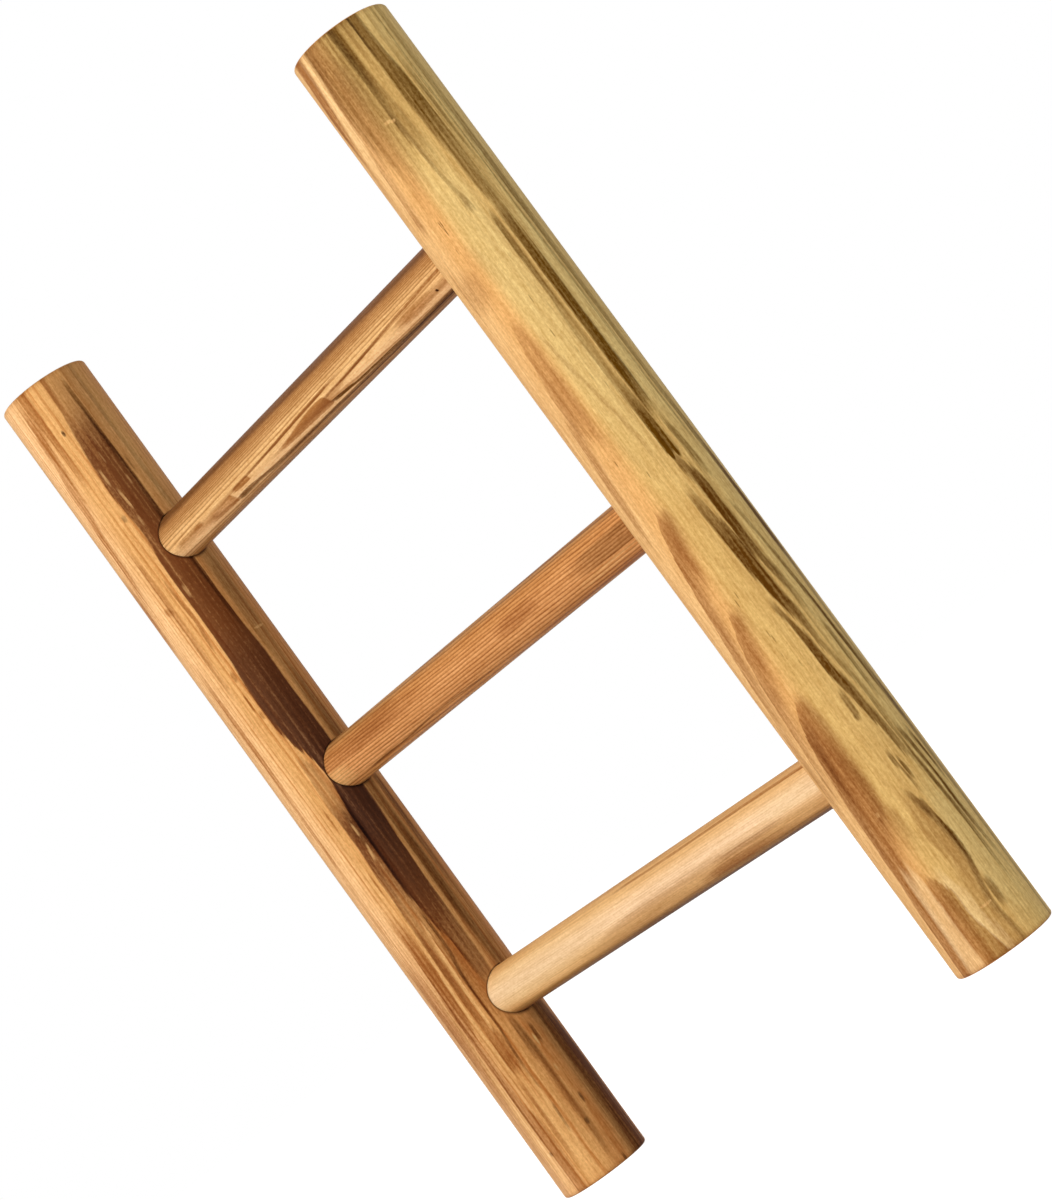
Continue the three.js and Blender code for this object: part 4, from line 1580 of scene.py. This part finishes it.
STRIPED = WoodFinish(
    slot="striped_rung",
    tones=((-180, Wood.NUT), (-96, Wood.NUT), (-74, Wood.TOFFEE), (-48, Wood.PEACH), (-14, Wood.APRICOT),
           (25, Wood.TOFFEE), (42, Wood.NUT), (180, Wood.NUT)),
    rings=RingFigure(pith_turn=145.0, pith_distance=40.0, lean=0.0062, ring_width=0.7,
                     waver=0.4, unevenness=0.3),
    late_tint=Tint.CHESTNUT,
    late_strength=1.0,
    onset=0.38,
    contrast=0.25,
    break_up=0.12,
    courses=(
        Course(((-150, 60, 14, 40), (150, 60, 14, 40)), Tint.UMBER, 9, 9),
        Course(((-134, -26, 2, 0), (-128, -26, 3.5, 65), (-116, -26, 4, 80), (-106, -26, 4, 87),
               (-103, -27, 3, 0)), Tint.CHESTNUT, 2, 2),
        Course(((-104, -42, 2, 0), (-96, -41, 5, 58), (-86, -40, 8, 72), (-77, -39, 10, 87),
               (-74, -39, 10.5, 80), (-72.5, -39, 8, 0)), Tint.CHESTNUT, 3, 3),
        Course(((-72, -27, 1, 0), (-68, -27, 4, 87), (-60, -27, 5, 94), (-55, -27, 4.5, 87),
               (-53, -28, 2, 0)), Tint.CHESTNUT, 2, 2),
        Course(((-74, -49, 2, 0), (-71, -49.5, 5, 70), (-60, -49.5, 5.5, 70), (-54, -51, 4.5, 70),
               (-40, -56, 2.5, 75), (0, -60, 2, 80), (30, -62, 2, 80), (95, -68, 2.5, 70),
               (145, -72, 3, 50)), Tint.UMBER, 2, 1.5),
        Course(((-58, -22.5, 0.8, 0), (-52, -22, 1.2, 60), (-20, -17, 1.4, 90), (0, -13, 1.3, 90),
               (30, -9, 1.2, 80), (50, -6, 0.8, 0)), Tint.SIENNA, 1.5, 1.5),
        Course(((-32, -37, 0.8, 0), (-20, -37, 3, 65), (-8, -36, 7, 87), (4, -34, 11, 94), (16, -33, 13, 94),
               (23, -34, 12.5, 98), (25, -35, 10, 87), (26.5, -37, 6, 0)), Tint.CHESTNUT, 2.5, 2.5),
        Course(((22, -25, 0.8, 0), (28, -25, 1.3, 65), (55, -22, 1.5, 90), (80, -16, 1.4, 90),
               (145, -6, 1.3, 80)), Tint.SIENNA, 1.5, 1.5),
        Course(((22, -43, 1, 0), (27, -44, 2.2, 95), (45, -52, 2.8, 98), (80, -58, 3, 98),
               (97, -61, 3.5, 90), (125, -61.5, 3.8, 90), (145, -62, 4, 80)), Tint.UMBER, 2, 1.5),
        Course(((88, -31, 4, 0), (98, -31, 8, 65), (110, -31, 9, 72), (122, -31, 7, 58), (132, -30, 5, 29),
               (145, -30, 4, 14)), Tint.CHESTNUT, 4, 4),
        *spots(Tint.BITTER, (127, -34, 2.4, 2.4, 70)),
    ),
    dash_strength=0.08,
)

RUSSET = WoodFinish(
    slot="russet_rung",
    tones=((-180, Wood.NUT), (-94, Wood.TOFFEE), (-66, Wood.COPPER), (-40, Wood.ROSY), (-4, Wood.ROSY),
           (40, Wood.COPPER), (64, Wood.TOFFEE), (180, Wood.NUT)),
    rings=RingFigure(pith_turn=80.0, pith_distance=60.0, lean=-0.015, ring_width=1.6,
                     waver=1.3, unevenness=0.6),
    late_tint=Tint.SIENNA,
    late_strength=1.0,
    onset=0.3,
    contrast=0.3,
    break_up=0.25,
    courses=(
        Course(((-140, -24, 20, 50), (-130, -24, 20, 45), (-124, -24, 18, 20), (-119, -24, 14, 0)),
               Tint.HONEY, 6, 6),
        Course(((-130, 20, 16, 29), (-90, 22, 20, 51), (-70, 22, 18, 36), (-50, 14, 10, 14),
               (-30, 12, 8, 0)), Tint.CHESTNUT, 6, 6),
        Course(((22, 2, 8, 0), (34, 2, 11, 43), (55, 3, 11, 43), (68, 4, 8, 0)), Tint.CHESTNUT, 5, 5),
        Course(((86, -3, 10, 0), (102, -3, 15, 30), (125, -2, 18, 40), (145, -2, 18, 40)), Tint.OLIVE, 5, 5),
        Course(((-118, -52, 1, 0), (-108, -52, 1.6, 60), (-95, -51, 1.8, 65), (-80, -53, 1.6, 60),
               (-62, -50, 1.6, 60), (-45, -46, 1.4, 50), (-20, -50, 1.4, 50), (0, -55, 1.4, 40),
               (20, -57, 1, 0)), Tint.UMBER, 1.5, 1.5),
        Course(((30, -62, 5, 0), (50, -64, 6, 35), (80, -66, 7, 45), (110, -68, 8, 50), (145, -68, 8, 50)),
               Tint.CHESTNUT, 5, 6),
        Course(((84, -32, 0.8, 0), (95, -32, 1.2, 45), (125, -31, 1.2, 45), (145, -31, 1, 30)), Tint.HONEY,
               1, 1),
        Course(((84, -42, 0.8, 0), (95, -42, 1.2, 45), (125, -42, 1.2, 40), (145, -42, 1, 30)), Tint.HONEY,
               1, 1),
    ),
    dash_strength=0.08,
)

PEACH = WoodFinish(
    slot="peach_rung",
    tones=((-180, Wood.TOFFEE), (-78, Wood.NUT), (-52, Wood.CARAMEL), (-32, Wood.APRICOT), (8, Wood.CREAM),
           (48, Wood.APRICOT), (80, Wood.CARAMEL), (180, Wood.TOFFEE)),
    rings=RingFigure(pith_turn=75.0, pith_distance=60.0, lean=-0.004, ring_width=1.05,
                     waver=0.4, unevenness=0.3),
    late_tint=Tint.SIENNA,
    late_strength=0.3,
    contrast=0.7,
    break_up=0.6,
    hair_strength=0.14,
    mottle_strength=0.11,
    courses=(
        Course(((-145, 6, 32, 40), (-100, 8, 30, 35), (-60, 12, 26, 25), (-30, 16, 22, 10), (0, 18, 16, 0)),
               Tint.SHELL, 10, 10),
        Course(((90, 8, 8, 0), (104, 9, 13, 30), (125, 9, 15, 35), (145, 9, 15, 35)), Tint.SHELL, 4, 6),
        Course(((-66, -38, 3, 0), (-45, -34, 8, 25), (-20, -28, 16, 30), (5, -25, 20, 30), (40, -26, 19, 32),
               (65, -27, 16, 40), (85, -28, 13, 35), (105, -30, 10, 25), (145, -32, 9, 20)), Tint.SIENNA, 5,
               7),
        Course(((36, -38, 3, 0), (50, -38, 7, 65), (70, -38, 8, 72), (88, -39, 6, 51), (105, -40, 4, 29),
               (120, -41, 3, 0)), Tint.CHESTNUT, 4, 4),
        Course(((52, -15, 0.6, 0), (62, -15, 0.9, 40), (100, -14, 0.9, 40), (112, -14, 0.6, 0)), Tint.SIENNA,
               1, 2),
        Course(((54, -21, 0.6, 0), (64, -20, 0.9, 40), (98, -19, 0.9, 35), (110, -19, 0.6, 0)), Tint.SIENNA,
               1, 2),
        Course(((-25, 54, 1, 0), (-10, 55, 2, 72), (10, 54, 2, 58), (45, 54, 2, 72), (80, 55, 2, 80),
               (110, 54, 2, 80), (145, 53, 2, 72)), Tint.CHESTNUT, 2, 2),
        # Painted shade along the underside of the bottom rung, towards its lower edge.
        Course(((-145, -66, 10, 40), (-100, -66, 10, 50), (-40, -66, 10, 65), (60, -66, 10, 70),
               (145, -66, 10, 65)), Tint.UMBER, 7, 8),
    ),
    dash_strength=0.0,
)


@dataclass
class TowelLadder:
    """The whole ladder, from its poles to its rungs."""

    heights: tuple[float, ...] = tuple(height * MM for height in RUNG_HEIGHTS)
    pieces: list[Piece] = field(default_factory=list)

    def build(self) -> None:
        """Lists the poles and the rungs."""
        self.pieces = [
            Pole("rail_left", AMBER, facing=1.0, bore_heights=self.heights,
                 nicks=(Nick(325.5, 99.5, 1.4, 5.5, 0.0),)),
            Pole("rail_right", GOLDEN, facing=-1.0, bore_heights=self.heights,
                 nicks=(Nick(444, 33, 1.0, 2.0, 10.0), Nick(22, 53, 0.9, 4.6, 4.0))),
            Rung("rung_top", STRIPED),
            Rung("rung_middle", RUSSET),
            Rung("rung_bottom", PEACH),
        ]

    def dress(self, shop: Workshop) -> None:
        """Makes every piece with its finish."""
        for piece in self.pieces:
            piece.dress(shop)


def main() -> None:
    """Builds the studio and the ladder and writes down both sizes."""
    logging.basicConfig(level=logging.INFO, format="%(name)s %(message)s")
    Studio().build()
    ladder = TowelLadder()
    ladder.build()
    ladder.dress(Workshop())
    log.info("%d pieces on a frame of %d nodes", len(ladder.pieces), len(frame["nodes"]))


if __name__ == "__main__":
    main()
